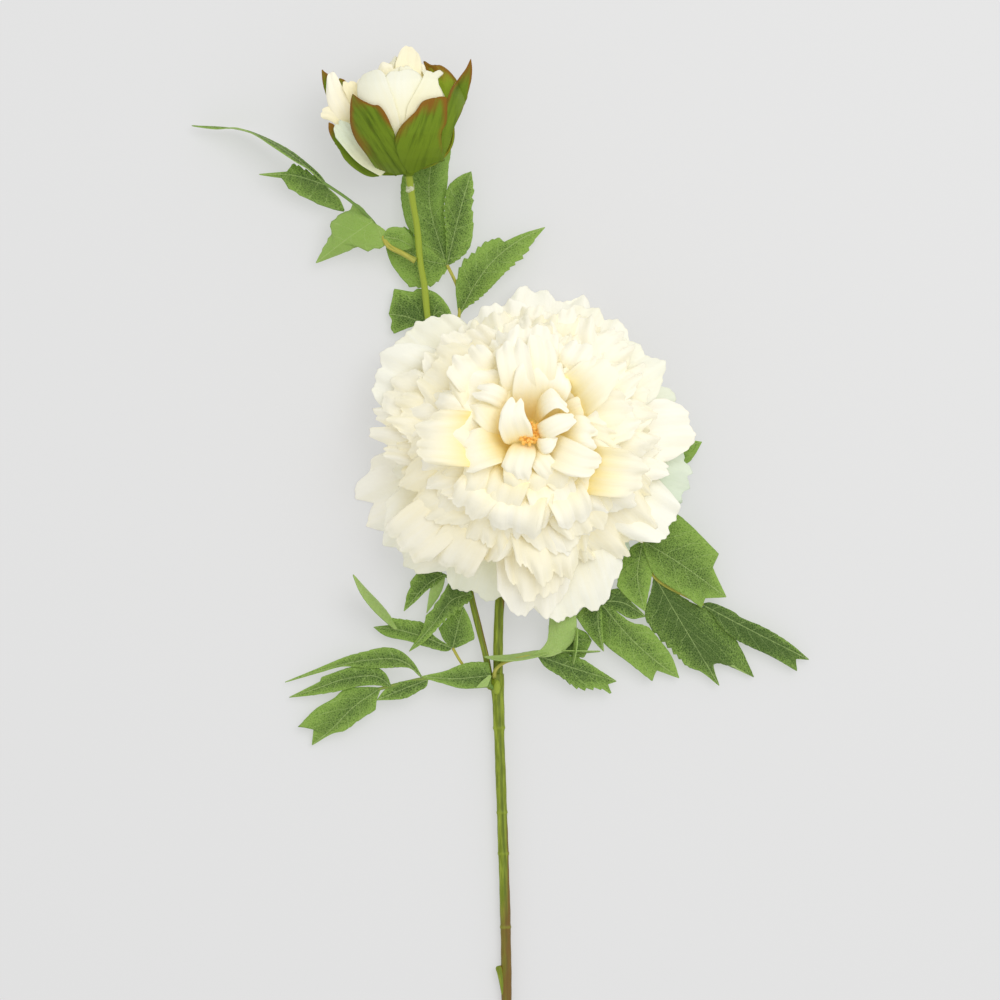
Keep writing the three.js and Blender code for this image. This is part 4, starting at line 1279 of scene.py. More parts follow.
LEAVES = (
    Leaf("leaf_upper_left", stalks=(
        Stalk(1.43, ((-48, 96, 15.2), (-54, 99.5, 15.2), (-60.5, 103, 15), (-63, 107.5, 15))),
        Stalk(0.8, ((-63, 107, 15), (-68, 114.5, 17.2), (-77.5, 123, 20.6), (-90.5, 132, 19)), green=1),
    ), leaflets=(
        # spear
        Plate(((-89.5, 131.5, 19), (-105, 144.5, 17.5), (-121, 154, 13.5), (-133, 157.5, 9), (-151.5, 159, 5)),
              ((-96, 137), (-103.5, 141.5), (-114, 148.5), (-121.5, 153.5), (-130, 157), (-140, 157)),
              ((-91.5, 135), (-98, 141), (-106.5, 147.5), (-120, 154.5), (-129, 157.5), (-140, 158)), stand=7),
        # folded
        Plate(((-88.5, 130.5, 19), (-105, 135.5, 15), (-120, 136, 12)),
              ((-88.5, 129.5), (-83, 124.5), (-80.5, 119), (-83.5, 119.5), (-91.5, 122), (-97, 124.5),
               (-106.5, 129.5), (-106.5, 134)),
              ((-92, 133.5), (-98, 137.5), (-104, 141), (-106, 138.5), (-107, 137)), fold=0.35, teeth=1),
        # lower
        Plate(((-67.5, 114, 18.3), (-78, 107, 17), (-94, 95.5, 8)),
              ((-61.5, 109.5), (-60.5, 104), (-63.5, 102.5), (-70, 100.5), (-73, 104), (-77.5, 101.5),
               (-85.5, 98.5)),
              ((-68.5, 115.5), (-73, 121), (-76.5, 123), (-78, 119.5), (-82, 118), (-87.5, 113), (-86.5, 109.5),
               (-89.5, 104)),
              fold=0.2, teeth=1, warmth=1),
        # inner
        Plate(((-62.5, 107, 16.4), (-56, 106, 14), (-49, 102.5, 10.5)),
              ((-61.5, 110), (-59.5, 111.5), (-53.5, 111.5), (-50, 107.5)), ((-60.5, 104), (-54.5, 101)),
              warmth=0.35),
    )),
    Leaf("leaf_upper_back", stalks=(
        Stalk(0.9, ((-38, 52, 8.2), (-32, 59.5, 8), (-28, 71.5, 8.5), (-28.5, 83, 8.5), (-33.5, 94.5, 9))),
    ), leaflets=(
        # tall
        Plate(((-34, 94.5, 9), (-41.5, 122, 7), (-41, 140.5, 3.6), (-35, 154, 1.2)),
              ((-38.5, 98.5), (-46.5, 106), (-52, 112.5), (-55, 127), (-54.5, 134.5), (-52, 142.5),
               (-45, 150.5)),
              ((-33.5, 106), (-35, 122), (-33.5, 131.5), (-33, 140.5), (-32, 148)), fold=0.06, warmth=0.12),
        # right lobe
        Plate(((-33.5, 95, 9), (-29.5, 111.5, 12), (-26, 125, 12), (-22.5, 137.5, 9)),
              ((-34, 105), (-35, 121.5), (-33, 130.5), (-27.5, 135.5)),
              ((-32.5, 94.5), (-26.5, 98.5), (-23, 103), (-21.5, 111.5), (-22, 121.5), (-21.5, 129)), fold=0.2,
              teeth=1),
        # left lobe
        Plate(((-33.5, 94.5, 9), (-47, 98, 8), (-62.5, 110, 6)),
              ((-33, 93), (-36, 89), (-39.5, 85.5), (-43, 84.5), (-51, 84.5), (-54.5, 88.5), (-59.5, 95.5),
               (-61.5, 101.5)),
              ((-38.5, 100.5), (-46.5, 106), (-51.5, 111.5), (-59.5, 111.5)), teeth=1, warmth=0.2),
        # blade
        Plate(((-28, 71.5, 8.5), (-20.5, 85.5, 13), (-12, 96.5, 14), (0, 106, 11), (11.5, 112, 6)),
              ((-29, 77.5), (-29.5, 84.5), (-26.5, 95.5), (-22, 99.5), (-17, 104), (-9.5, 107), (-8, 104.5),
               (0.5, 108.5)),
              ((-26, 73.5), (-17.5, 80), (-6, 91.5), (1.5, 98.5), (7, 106.5)), fold=0.25, teeth=1, warmth=0.1),
    )),
    Leaf("leaf_upper_low", stalks=(
        Stalk(0.8, ((-40, 53.5, 7.2), (-42, 60.5, 6.8), (-43, 68, 7))),
    ), leaflets=(
        # left
        Plate(((-43, 67, 7), (-53, 71, 6), (-60.5, 72, 4)),
              ((-43.5, 66), (-48, 66.5), (-58, 63), (-59.5, 65), (-59, 69)),
              ((-42.5, 76), (-43, 83.5), (-51, 83), (-58, 83.5)), fold=0.08, teeth=1),
        # right
        Plate(((-43, 67, 7), (-37, 73, 8), (-30.5, 68.5, 5)),
              ((-43, 75.5), (-42.5, 83.5), (-38.5, 81.5), (-33.5, 76)), ((-37, 66),)),
    )),
    Leaf("leaf_right_small", stalks=(
        Stalk(0.8, ((-1, -9.5, 2.8), (18.5, -5.5, 5), (38.5, -0.5, 6.5))),
    ), leaflets=(
        # tip
        Plate(((37.5, -0.5, 6.5), (62, 6.5, 6.5), (84, 13, 5)), ((47, 6.5), (64.5, 13.5), (76.5, 14)),
              ((55, -2), (77, 3), (80, 6))),
    )),
    Leaf("leaf_right", stalks=(
        Stalk(1, ((-3.5, -40, 4.6), (14, -44, 7), (36.5, -60.5, 9.5)), green=0.5),
        Stalk(0.8, ((13.5, -44, 7), (41.5, -37, 8.5), (56, -37.5, 10), (62, -49.5, 10), (84.5, -62, 8))),
        Stalk(0.7, ((56, -38, 10), (57, -32.5, 12.5)), green=0.4),
    ), leaflets=(
        # broad
        Plate(((56.5, -32.5, 12.5), (73.5, -43, 14), (95, -58.5, 9)),
              ((60.5, -25.5), (72, -20), (76.5, -23.5), (91.5, -38.5), (88.5, -44.5), (91, -50)),
              ((58.5, -41.5), (62.5, -49), (76, -58), (83.5, -63.5), (85, -59)), fold=0.12),
        # broad side
        Plate(((56.5, -32.5, 12.5), (54, -48.5, 12), (57.5, -65, 8.5)),
              ((61, -39.5), (60.5, -49.5), (59, -57.5)), ((50.5, -36), (46.5, -43), (44.5, -53.5), (49.5, -59)),
              fold=0.15),
        # dark
        Plate(((62, -49, 9.5), (71.5, -65.5, 9.5), (81.5, -82, 7.5), (92, -99.5, 4)),
              ((70, -55), (80, -61.5), (88, -65), (99.5, -78), (108.5, -96), (101.5, -92), (95, -88),
               (89, -86.5), (89.5, -92)),
              ((60.5, -55.5), (57.5, -66), (59.5, -71.5), (68.5, -81.5), (78, -91), (83.5, -93)), fold=0.18,
              teeth=1, warmth=-0.35),
        # far
        Plate(((84, -62, 7.5), (100, -70.5, 8.5), (117.5, -79.5, 7), (133.5, -87.5, 3.5)),
              ((87.5, -61), (99.5, -66), (101, -67.5), (112.5, -72.5), (124, -79.5)),
              ((88, -65.5), (92, -71.5), (99.5, -78), (116, -86), (128, -93), (127, -87)), fold=0.2,
              warmth=-0.3),
        # near
        Plate(((36.5, -60.5, 9), (51, -77.5, 9.5), (62, -87.5, 7.5), (73.5, -96, 4)),
              ((43, -64), (51, -70), (58.5, -72), (64.5, -78.5), (70, -86)),
              ((36.5, -69), (37.5, -78), (51, -89.5), (61, -97.5), (62.5, -92)), fold=0.18),
        # short
        Plate(((37, -60.5, 9.5), (47, -61, 9.5), (58, -67.5, 7.5)), ((40.5, -55.5), (45.5, -54.5), (50.5, -60)),
              ((43, -64), (51, -68.5)), warmth=-0.3),
        # drop
        Plate(((36, -60.5, 10), (36, -71.5, 13), (38.5, -83.5, 10)), ((37.5, -65.5), (38, -75)),
              ((30.5, -62), (25.5, -67.5), (33, -77.5)), fold=0.2),
    )),
    Leaf("leaf_front_right", stalks=(
        Stalk(0.95,
              ((-12, -95.5, 8.4), (-11.5, -92.5, 10.4), (-9.5, -90, 11.8), (-6, -88, 12.6), (-2, -87, 12.9),
               (3, -86, 12.6), (9, -85, 11.8))),
    ), leaflets=(
        # sliver
        Plate(((15, -83.5, 13.4), (2, -86, 13.6), (-7, -87, 13.5), (-16.5, -86, 12.5)),
              ((7, -86), (-2, -87.5), (-10, -87.5)), ((9, -83), (-3.5, -85), (-11.5, -85.5)), fold=0, stand=5,
              face_down=True),
        # rising
        Plate(((5.5, -85.5, 13), (14.5, -82, 14.5), (20, -73, 14.5), (21, -63.5, 13)),
              ((9.5, -82.5), (12.5, -78.5), (13.5, -69.5), (14.5, -63.5)),
              ((12.5, -86), (19.5, -83.5), (25, -77.5), (26, -70), (25.5, -64.5)), fold=0.2, face_down=True),
        # dark
        Plate(((8.5, -85.5, 12.5), (25.5, -91.5, 11), (44.5, -97.5, 4.5)),
              ((15, -83.5), (28.5, -87), (35.5, -91.5)),
              ((11.5, -90.5), (18.5, -95), (26.5, -100.5), (37, -101), (42.5, -103.5), (40, -99)), fold=0.2,
              teeth=1, warmth=-0.25),
        # edge on
        Plate(((16.5, -83.5, 12.6), (27.5, -83.5, 12), (37, -83.5, 10)), ((26.5, -83),), ((26.5, -84.5),),
              fold=0, stand=5),
        # hanging
        Plate(((26, -72.5, 14), (25, -82, 14), (24.5, -89.5, 11.5)), ((26, -82),), ((24, -82),), fold=0,
              stand=5, warmth=0.5),
        # back
        Plate(((18.5, -83.5, 11.5), (25.5, -78.5, 10.5), (33, -78.5, 8)),
              ((21.5, -78), (26.5, -73), (30.5, -75)), ((24, -85.5), (29.5, -86.5))),
    )),
    Leaf("leaf_lower_left", stalks=(
        Stalk(0.9,
              ((-12, -100.5, 7.5), (-16.5, -98, 8.8), (-22, -97, 9.6), (-32, -96.5, 10.4), (-44, -96, 10.8),
               (-53.5, -98, 10), (-65.5, -101, 9.4)),
              green=0.75),
    ), leaflets=(
        # near
        Plate(((-13.5, -94.5, 10.8), (-29.5, -96, 12.2), (-45.5, -95, 11.6)),
              ((-13.5, -100), (-27, -100.5), (-34.5, -98.5), (-41.5, -96.5)),
              ((-14.5, -88.5), (-22, -88.5), (-27, -89.5), (-34.5, -92.5), (-41.5, -94)), fold=0.2,
              warmth=-0.1),
        # long
        Plate(((-45.5, -95, 11.6), (-54.5, -87.5, 16), (-71, -87.5, 13), (-92, -92.5, 7), (-108.5, -98, 2.5)),
              ((-51, -91), (-62, -91), (-71, -91), (-81.5, -90.5), (-92.5, -93.5)),
              ((-49, -88.5), (-55, -83), (-62, -81.5), (-71, -83.5), (-80, -86), (-94.5, -92)), fold=0.25),
        # middle
        Plate(((-59.5, -99.5, 10.4), (-66, -95, 12.5), (-80, -96, 11), (-93, -100.5, 7), (-106.5, -105, 2.5)),
              ((-66.5, -99), (-74, -99.5), (-82, -101.5), (-93, -103.5)),
              ((-61, -95), (-63.5, -92), (-71, -89.5), (-77, -90.5), (-91.5, -95.5), (-92, -97.5)), fold=0.2),
        # low
        Plate(((-64.5, -100.5, 10), (-76.5, -109, 10), (-87, -119.5, 7), (-96, -127, 2.5)),
              ((-66, -106), (-66.5, -110.5), (-74.5, -115.5), (-80.5, -120), (-86.5, -121.5)),
              ((-74, -100), (-81.5, -101.5), (-85.5, -105), (-94, -110), (-102.5, -118.5), (-95, -118)),
              fold=0.18, warmth=0.12),
        # bridge
        Plate(((-42.5, -96.5, 11.4), (-53, -100.5, 11), (-66, -106, 8.5)),
              ((-43, -99.5), (-47, -102), (-52.5, -105)), ((-52.5, -97), (-60.5, -99.5)), fold=0.15),
        # flap
        Plate(((-13.5, -94.5, 11.4), (-16, -97, 12.4), (-20, -100, 12)), ((-15, -99.5), (-17.5, -100)),
              ((-15, -95), (-18, -97.5)), fold=0, face_down=True),
    )),
    Leaf("leaf_mid_left", stalks=(
        Stalk(0.8, ((-13, -101, 5.4), (-19.5, -97, 6.8), (-26.5, -89.5, 8), (-31, -82, 9))),
    ), leaflets=(
        # right lobe
        Plate(((-31, -82, 9), (-29, -73.5, 10), (-26, -63, 9.5)),
              ((-35, -78.5), (-37.5, -73), (-34, -69), (-29, -64)),
              ((-28.5, -81.5), (-21, -78), (-21, -76.5), (-23, -69)), fold=0.15),
        # left lobe
        Plate(((-31.5, -82, 9), (-44, -77, 10), (-56.5, -73.5, 8), (-67.5, -72.5, 4.5)),
              ((-33.5, -83.5), (-44.5, -81), (-50.5, -79), (-62, -76.5)),
              ((-39.5, -76.5), (-44.5, -70.5), (-49, -69.5), (-60.5, -68), (-60, -71.5)), fold=0.2,
              warmth=0.05),
        # whip
        Plate(((-57, -73.5, 8), (-64, -64.5, 12), (-71, -55.5, 16.5), (-76.5, -48, 21)),
              ((-60, -71.5), (-67.5, -64), (-73, -56.5)), ((-60.5, -66.5), (-65, -61), (-71, -54.5)), fold=0,
              stand=6, face_down=True),
    )),
    Leaf("leaf_under_bloom", stalks=(
        Stalk(0.8, ((-22.5, -59, 9.4), (-24, -55, 10.2), (-29.5, -51.5, 10.8), (-35.5, -48, 11)), green=1),
    ), leaflets=(
        # front
        Plate(((-23, -57, 10), (-31.5, -60, 13), (-40, -71, 13.5), (-51, -83.5, 10)),
              ((-21.5, -58.5), (-27, -63.5), (-34.5, -69.5), (-39.5, -74.5), (-44.5, -79.5)),
              ((-23, -54), (-26.5, -53.5), (-30, -49.5), (-31, -47.5), (-34.5, -55), (-39.5, -62.5),
               (-43.5, -68.5), (-44.5, -73)),
              fold=0.12, teeth=1),
        # left
        Plate(((-35, -48, 11), (-42.5, -52.5, 11), (-53.5, -65, 8)),
              ((-38.5, -52.5), (-43, -55.5), (-47.5, -60)),
              ((-39.5, -44.5), (-45.5, -43), (-49, -49.5), (-51.5, -56)), fold=0.12, teeth=1),
        # strip
        Plate(((-35, -48, 10.5), (-39, -55, 10), (-43, -66, 8)), ((-34.5, -50), (-36.5, -56.5)),
              ((-38, -49), (-41, -54), (-42.5, -61.5)), face_down=True),
    )),
)


# ---------------------------------------------------------------- bloom
@dataclass(frozen=True)
class Frill:
    """The lobes, ruffles and rolled margin of one petal.

    Attributes:
        seed: Number that makes it its own.
        strength: How strong it is.
        cup: Rise of the sides, as a share of half the width.
        notch: Depth of the notch in the middle of the margin, as a share of the length.
        taper: How far the margin falls back at the sides, as a share of the length.
        lobes: Number of lobes across it.
    """

    seed: float
    strength: float
    cup: float
    notch: float
    taper: float = 0.17
    lobes: float = 3.0

    def _lobes(self, v: Array) -> tuple[Array, Array]:
        """Two cosine waves across the petal whose crests are the middles of its lobes.

        Args:
            v: Places across, from -1 to 1.

        Returns:
            The broad wave and the fine one.
        """
        count = self.lobes * (0.75 + 0.5 * chance(self.seed + 0.3))
        broad = np.cos(np.pi * (count * v + 2.0 * chance(self.seed + 0.1) + 0.25 * np.sin(4.0 * v + self.seed)))
        fine = np.cos(np.pi * (2.6 * count * v + 2.0 * chance(self.seed + 0.2)))
        return broad, fine

    def trim(self, v: Array) -> Array:
        """Share of the length cut away at the margin.

        It is the sum of rounded corners, a notch in the middle, gaps between the lobes, and a fine sine
        wave that frays the margin.

        Args:
            v: Places across, from -1 to 1.

        Returns:
            The share cut away.
        """
        broad, fine = self._lobes(v)
        gaps = 0.036 * ((1.0 - broad) / 2.0) ** 2 + 0.016 * ((1.0 - fine) / 2.0) ** 2
        gaps = gaps + 0.006 * np.sin(5.9 * np.pi * self.lobes * v + 9.0 * self.seed)
        return (self.taper * np.abs(v) ** 2.2 + self.notch * np.exp(-(v / 0.2) ** 2) - 0.02
                + self.strength * (gaps - 0.015))

    def push(self, u: Array, v: Array) -> Array:
        """How far the sheet moves along its normal, as a share of half its width.

        A slow sine wave bends it all over, the lobes ruffle the outer half, fine waves crease it
        lengthwise, the sides rise by the square of v, and the margin rolls back.

        Args:
            u: Shares of the length, from the root.
            v: Places across, from -1 to 1.

        Returns:
            The shares.
        """
        turns = [2.0 * math.pi * chance(self.seed + 0.61 * k) for k in range(6)]
        broad, fine = self._lobes(v)
        ruffle = 0.060 * ease(0.60, 1.0, u) ** 2 * broad + 0.026 * ease(0.80, 1.0, u) ** 2 * fine
        waves = (0.055 * u ** 2 * np.sin(3.1 * np.pi * v + 2.0 * math.pi * chance(self.seed))
                 + self.strength * ruffle
                 + 0.0025 * ease(0.15, 0.7, u) * np.sin(13.0 * np.pi * v + 2.0 * u + turns[4])
                 + 0.035 * self.strength * u * np.sin(5.0 * u + 2.4 * v + turns[5])
                 + 0.55 * self.strength * (chance(self.seed + 0.7) - 0.5) * v * u)
        cupped = self.cup * v ** 2 * ease(0.1, 0.8, u)
        rolled = self.strength * (0.10 * ease(0.80, 1.0, u) ** 2 + 0.07 * ease(0.75, 1.0, np.abs(v)) ** 2 * u)
        return waves + cupped - rolled


@dataclass(frozen=True)
class Tint:
    """Colours of one petal.

    Attributes:
        gold: Golden tint at its root.
        green: Green tint all over.
        warmth: Warmer tint all over.
    """

    gold: float = 0.3
    green: float = 0.0
    warmth: float = 0.0

    def data(self, across: Array, along: Array, length: float, seed: float) -> dict[str, Array]:
        """Values of a petal for its material.

        Args:
            across: Distance across, in millimetres.
            along: Share of the length, from the root.
            length: The length.
            seed: Number that makes its pattern its own.

        Returns:
            Grids of values by name.
        """
        full = np.ones_like(across)
        return {
            "cloth": np.stack([across, along * length, full * 13.7 * seed], axis=-1),
            # gold, and the extra warmth toward the root, are partly the petal's own colour and partly painted
            # warm shade deep in the bloom
            "gold": self.gold * (1.0 - ease(0.25, 0.85, along)),
            "green": self.green * full,
            "warmth": self.warmth * full + 0.25 * (1.0 - ease(0.5, 1.0, along)),
        }


def grid_lines(rows: int, columns: int) -> tuple[Array, Array]:
    """The two parameters of a petal: u from root to margin, closer at the margin, and v across.

    Args:
        rows: Rows from root to margin.
        columns: Columns across.

    Returns:
        A column of u and a row of v.
    """
    u = 1.0 - (1.0 - np.linspace(0.0, 1.0, rows)) ** 1.3
    return u[:, None], np.linspace(1.0, -1.0, columns)[None, :]


@dataclass(frozen=True)
class Petal:
    """One petal of the open bloom, round the Z axis before the bloom leans.

    Attributes:
        azimuth: Direction in degrees.
        reach: Distance of its tip from the axis.
        crest: Height that its middle curves up to.
        tip: Height of its tip.
        half_width: Half its width at the widest.
        root: Distance from the axis and height of its root.
        wrap: Radius that its sides bend round.
        frill: Its lobes and ruffles.
        tint: Its colours.
    """

    azimuth: float
    reach: float
    crest: float
    tip: float
    half_width: float
    root: tuple[float, float]
    wrap: float
    frill: Frill
    tint: Tint = Tint()

    def blade(self, rows: int, columns: int) -> tuple[Array, dict[str, Array]]:
        """The petal as a grid over u, from root to margin, and v, across.

        Its centreline is a cubic curve in distance and height, from the root over a crest to the tip. The
        width swells as a quarter sine. The sides bend round the axis by the square of the distance across.
        The frill trims the margin and pushes the sheet along its normal.

        Args:
            rows: Rows from root to margin.
            columns: Columns across.

        Returns:
            The grid of points and its values.
        """
        u, v = grid_lines(rows, columns)
        along = np.minimum(u * (1.0 - self.frill.trim(v)), 1.03)
        span = self.reach - self.root[0]
        knots = np.array([
            self.root,
            (self.root[0] + 0.15 * span, self.crest),
            (self.root[0] + 0.65 * span, self.crest + 0.15 * (self.crest - self.tip)),
            (self.reach, self.tip),
        ])
        point, tangent = cubic(knots, along)
        across = v * self.half_width * (0.22 + 0.78 * np.sin(np.pi / 2 * np.minimum(1.0, along / 0.72)))
        push = self.half_width * self.frill.push(u, v)
        radius = point[..., 0] - across ** 2 / (2 * self.wrap) - tangent[..., 1] * push
        height = point[..., 1] + tangent[..., 0] * push
        turn = math.radians(self.azimuth)
        middle = np.stack([radius * math.cos(turn) - across * math.sin(turn),
                           radius * math.sin(turn) + across * math.cos(turn), height], axis=-1)
        length = span + 0.6 * abs(self.crest - self.root[1])
        return lean(middle), self.tint.data(across, along, length, self.frill.seed)


def cubic(knots: Array, along: Array) -> tuple[Array, Array]:
    """Points and unit tangents of a cubic Bezier curve.

    Args:
        knots: Its four control points.
        along: Parameters from 0 to 1.

    Returns:
        The points and the tangents.
    """
    rest = 1.0 - along
    weights = [rest ** 3, 3 * along * rest ** 2, 3 * along ** 2 * rest, along ** 3]
    slopes = [rest ** 2, 2 * along * rest, along ** 2]
    point = sum(weight[..., None] * knot for weight, knot in zip(weights, knots))
    slope = sum(share[..., None] * (knots[k + 1] - knots[k]) for k, share in enumerate(slopes))
    return point, unit(slope)


def lean(points: Array) -> Array:
    """Places the bloom over the stem, leaning a little more with height.

    Args:
        points: Points round the bloom's own axis.

    Returns:
        The same points in the model's frame.
    """
    share = (points[..., 2:] - RECEPTACLE_HEIGHT) / (BLOOM_TOP - RECEPTACLE_HEIGHT)
    moved = points.copy()
    moved[..., :2] += np.array(BLOOM_BASE) + np.array(BLOOM_LEAN) * share
    keep_above(moved, FLOOR_CLEARANCE)
    return moved


@dataclass(frozen=True)
class LoosePetal:
    """A petal along its own rib, already in the model's frame.

    Attributes:
        rib: Points along its middle, from root to tip.
        half_width: Half its width at the widest.
        cup: Rise of its sides, as a share of half the width.
        gold: Golden tint at its root.
        green: Green tint all over.
        warmth: Warmer tint all over.
        notch: Depth of the notch in its margin.
        taper: How far its margin falls back at the sides.
    """

    rib: Sequence[tuple[float, float, float]]
    half_width: float
    cup: float = 0.2
    gold: float = 0.2
    green: float = 0.0
    warmth: float = 0.0
    notch: float = 0.05
    taper: float = 0.17

    def blade(self, rows: int, columns: int, seed: float) -> tuple[Array, dict[str, Array]]:
        """The petal as a grid over u, from root to margin, and v, across.

        Each row lies level, square to the way from root to tip, and the frill pushes it along the normal
        of rib and row.

        Args:
            rows: Rows from root to margin.
            columns: Columns across.
            seed: Number that makes its ruffles its own.

        Returns:
            The grid of points and its values.
        """
        frill = Frill(seed, 1.0, self.cup, self.notch, self.taper, self.half_width / LOBE)
        u, v = grid_lines(rows, columns)
        along = np.clip(u * (1.0 - frill.trim(v)), 0.0, 1.0)
        stations = np.linspace(0.0, 1.0, 160)
        line = smooth_line(self.rib, stations)
        slope = unit(np.gradient(line, axis=0))
        point = np.stack([np.interp(along, stations, line[:, k]) for k in range(3)], axis=-1)
        tangent = np.stack([np.interp(along, stations, slope[:, k]) for k in range(3)], axis=-1)
        way = line[-1] - line[0]
        level = unit(np.array([way[1], -way[0], 0.0]))
        across = v * self.half_width * (0.35 + 0.65 * np.sin(np.pi / 2 * np.minimum(1.0, along / 0.62)))
        normal = unit(np.cross(level, tangent))
        push = self.half_width * frill.push(u, v)
        middle = point - level * across[..., None] + normal * push[..., None]
        keep_above(middle, FLOOR_CLEARANCE)
        return middle, Tint(self.gold, self.green, self.warmth).data(across, along, line_length(line), seed)


@dataclass(frozen=True)
class Ring:
    """A ring of like petals.

    Attributes:
        name: Name of the piece.
        count: Number of petals.
        start: Direction of the first.
        reach: Distance of the tips from the axis.
        crest: Height of the crests.
        tip: Height of the tips.
        half_width: Half the width of a petal.
        root: Height of the roots.
        gold: Golden tint at the roots.
    """

    name: str
    count: int
    start: float
    reach: float
    crest: float
    tip: float
    half_width: float
    root: float
    gold: float

    def petals(self, seed: float) -> Iterable[Petal]:
        """The ring's petals, each a little different, and every second one raised.

        Args:
            seed: Number that makes the ring its own.

        Yields:
            The petals.
        """
        for k in range(self.count):
            own = seed + k
            raised = RING_STEP * (k % 2)
            width = self.half_width * (0.70 + 0.60 * chance(own + 5))
            yield Petal(
                azimuth=self.start + 360.0 * k / self.count + 26.0 * (chance(own) - 0.5),
                reach=(self.reach - raised) * (0.87 + 0.20 * chance(own + 7)),
                crest=self.crest + raised + 6.0 * (chance(own + 2) - 0.5),
                tip=self.tip + raised + 14.0 * (chance(own + 3) - 0.5),
                half_width=width,
                root=(7.0, self.root + 0.6 * raised),
                wrap=RING_WRAP,
                frill=Frill(own, 0.9 + 0.7 * chance(own + 11), 0.06 + 0.20 * chance(own + 17),
                            0.02 + 0.08 * chance(own + 9), 0.19, width / LOBE),
                tint=Tint(self.gold * (0.6 + 0.8 * chance(own + 13)), 0.0, 0.6 * chance(own + 15) - 0.15),
            )


@dataclass
class Bloom:
    """The open bloom: flat outer petals, rings of ruffled ones, a loose heart and stamens.

    Attributes:
        guards: Azimuth, reach, height of the tip, half width, layer, notch and green tint of each outer petal.
        rings: The rings, from the outside in.
        heart: The loose petals.
    """

    guards: Sequence[tuple[float, ...]]
    rings: Sequence[Ring]
    heart: Sequence[LoosePetal]

    def outer(self) -> Iterable[Petal]:
        """The large smooth outer petals.

        Yields:
            The petals.
        """
        for k, (azimuth, reach, tip, half_width, layer, notch, green) in enumerate(self.guards):
            yield Petal(
                azimuth=azimuth,
                reach=reach,
                crest=24.0 + 0.25 * tip + 1.4 * layer * LAYER_STEP,
                tip=tip,
                half_width=half_width,
                root=(8.0, 25.4 + layer * LAYER_STEP),
                wrap=OUTER_WRAP,
                frill=Frill(k + 1.0, 0.8, 0.10, notch, 0.19, half_width / (1.5 * LOBE)),
                tint=Tint(0.0, green, 0.3 * chance(k + 80) - 0.35),
            )

    def build(self, fabric: bpy.types.Material) -> None:
        """Builds the petals ring by ring, and the heart over a golden dome.

        Args:
            fabric: Material of the petals.
        """
        groups = [("bloom_guard", self.outer())]
        groups += [(ring.name, ring.petals(31.0 * (k + 1))) for k, ring in enumerate(self.rings)]
        for name, petals in groups:
            shape = Sculpture()
            for petal in petals:
                middle, data = petal.blade(*PETAL_GRID)
                shape.sheet(middle, PETAL_THICKNESS, data)
            dress(shape.build(name), fabric, Slot.PETAL, "bloom_petals")
        shape = Sculpture()
        for k, petal in enumerate(self.heart):
            middle, data = petal.blade(*LOOSE_GRID, 200.0 + k)
            shape.sheet(middle, PETAL_THICKNESS, data)
        shape.turned(DOME_PROFILE, 40, placed(EYE), {"front": 1.0, "gold": 1.0, "green": 0.0, "warmth": 1.0})
        dress(shape.build("bloom_heart"), fabric, Slot.PETAL, "bloom_petals")

    def stamens(self, finish: bpy.types.Material) -> None:
        """Builds the tuft of stamens: threads that fan out a little, each with a long grainy head.

        Args:
            finish: Material of the stamens.
        """
        shape = Sculpture()
        foot_height, head_height = STAMEN_HEIGHTS
        thread_radius, head_radius = STAMEN_RADII
        for k in range(STAMEN_COUNT):
            turn = GOLDEN_ANGLE * k
            spread = STAMEN_SPREAD * math.sqrt((k + 0.5) / STAMEN_COUNT)
            way = np.array([math.cos(turn), math.sin(turn)])
            foot = np.array([*(0.7 * spread * way), foot_height])
            head = np.array([*(1.2 * spread * way), head_height + 3.0 * (chance(k + 400) - 0.5)])
            share = np.linspace(0.0, 1.0, 8)[:, None]
            path = foot + (head - foot) * share
            bow = 0.5 * np.sin(np.pi * share) * [math.cos(3 * turn), math.sin(3 * turn)]
            path[:, :2] += bow + np.array(EYE)
            shape.tube(path, np.full(8, thread_radius), 6, {"head": np.zeros(8)})
            stations = np.linspace(-1.0, 1.0, 9)
            slant = unit(np.array([0.9 * math.cos(5 * turn), 0.9 * math.sin(5 * turn), 1.0]))
            body = path[-1] + slant * stations[:, None] * STAMEN_HEAD
            swell = np.sqrt(np.maximum(1.0 - stations ** 2, 0.02))
            shape.tube(body, head_radius * swell, 8, {"head": np.ones(9)})
        dress(shape.build("stamen_tuft"), finish, Slot.STAMEN, "bloom_stamens")


@dataclass
class Calyx:
    """The cup under the bloom, with its sepals.

    Attributes:
        profile: Radius and height of the cup, from the bottom to the top.
        sepals: Number of sepals.
    """

    profile: Sequence[tuple[float, float]]
    sepals: int = 6

    def build(self, fabric: bpy.types.Material) -> None:
        """Builds the sepals and the cup.

        Args:
            fabric: Material of both.
        """
        shape = Sculpture()
        for k in range(self.sepals):
            sepal = Petal(azimuth=60.0 * k, reach=34.0, crest=20.5, tip=12.0, half_width=9.0, root=(9.0, 20.6),
                          wrap=CALYX_WRAP, frill=Frill(300.0 + k, 0.4, 0.1, -0.25))
            middle, data = sepal.blade(*CALYX_GRID)
            rust = (data["cloth"][..., 1] / 32.0) ** 3
            shape.sheet(middle, SEPAL_THICKNESS, {"cloth": data["cloth"], "rust": 0.2 + 0.5 * rust})
        shape.turned(self.profile, 48, placed(BLOOM_BASE), {"front": 0.0, "rust": 0.2})
        dress(shape.build("calyx_sepals"), fabric, Slot.SEPAL, "bloom_calyx")


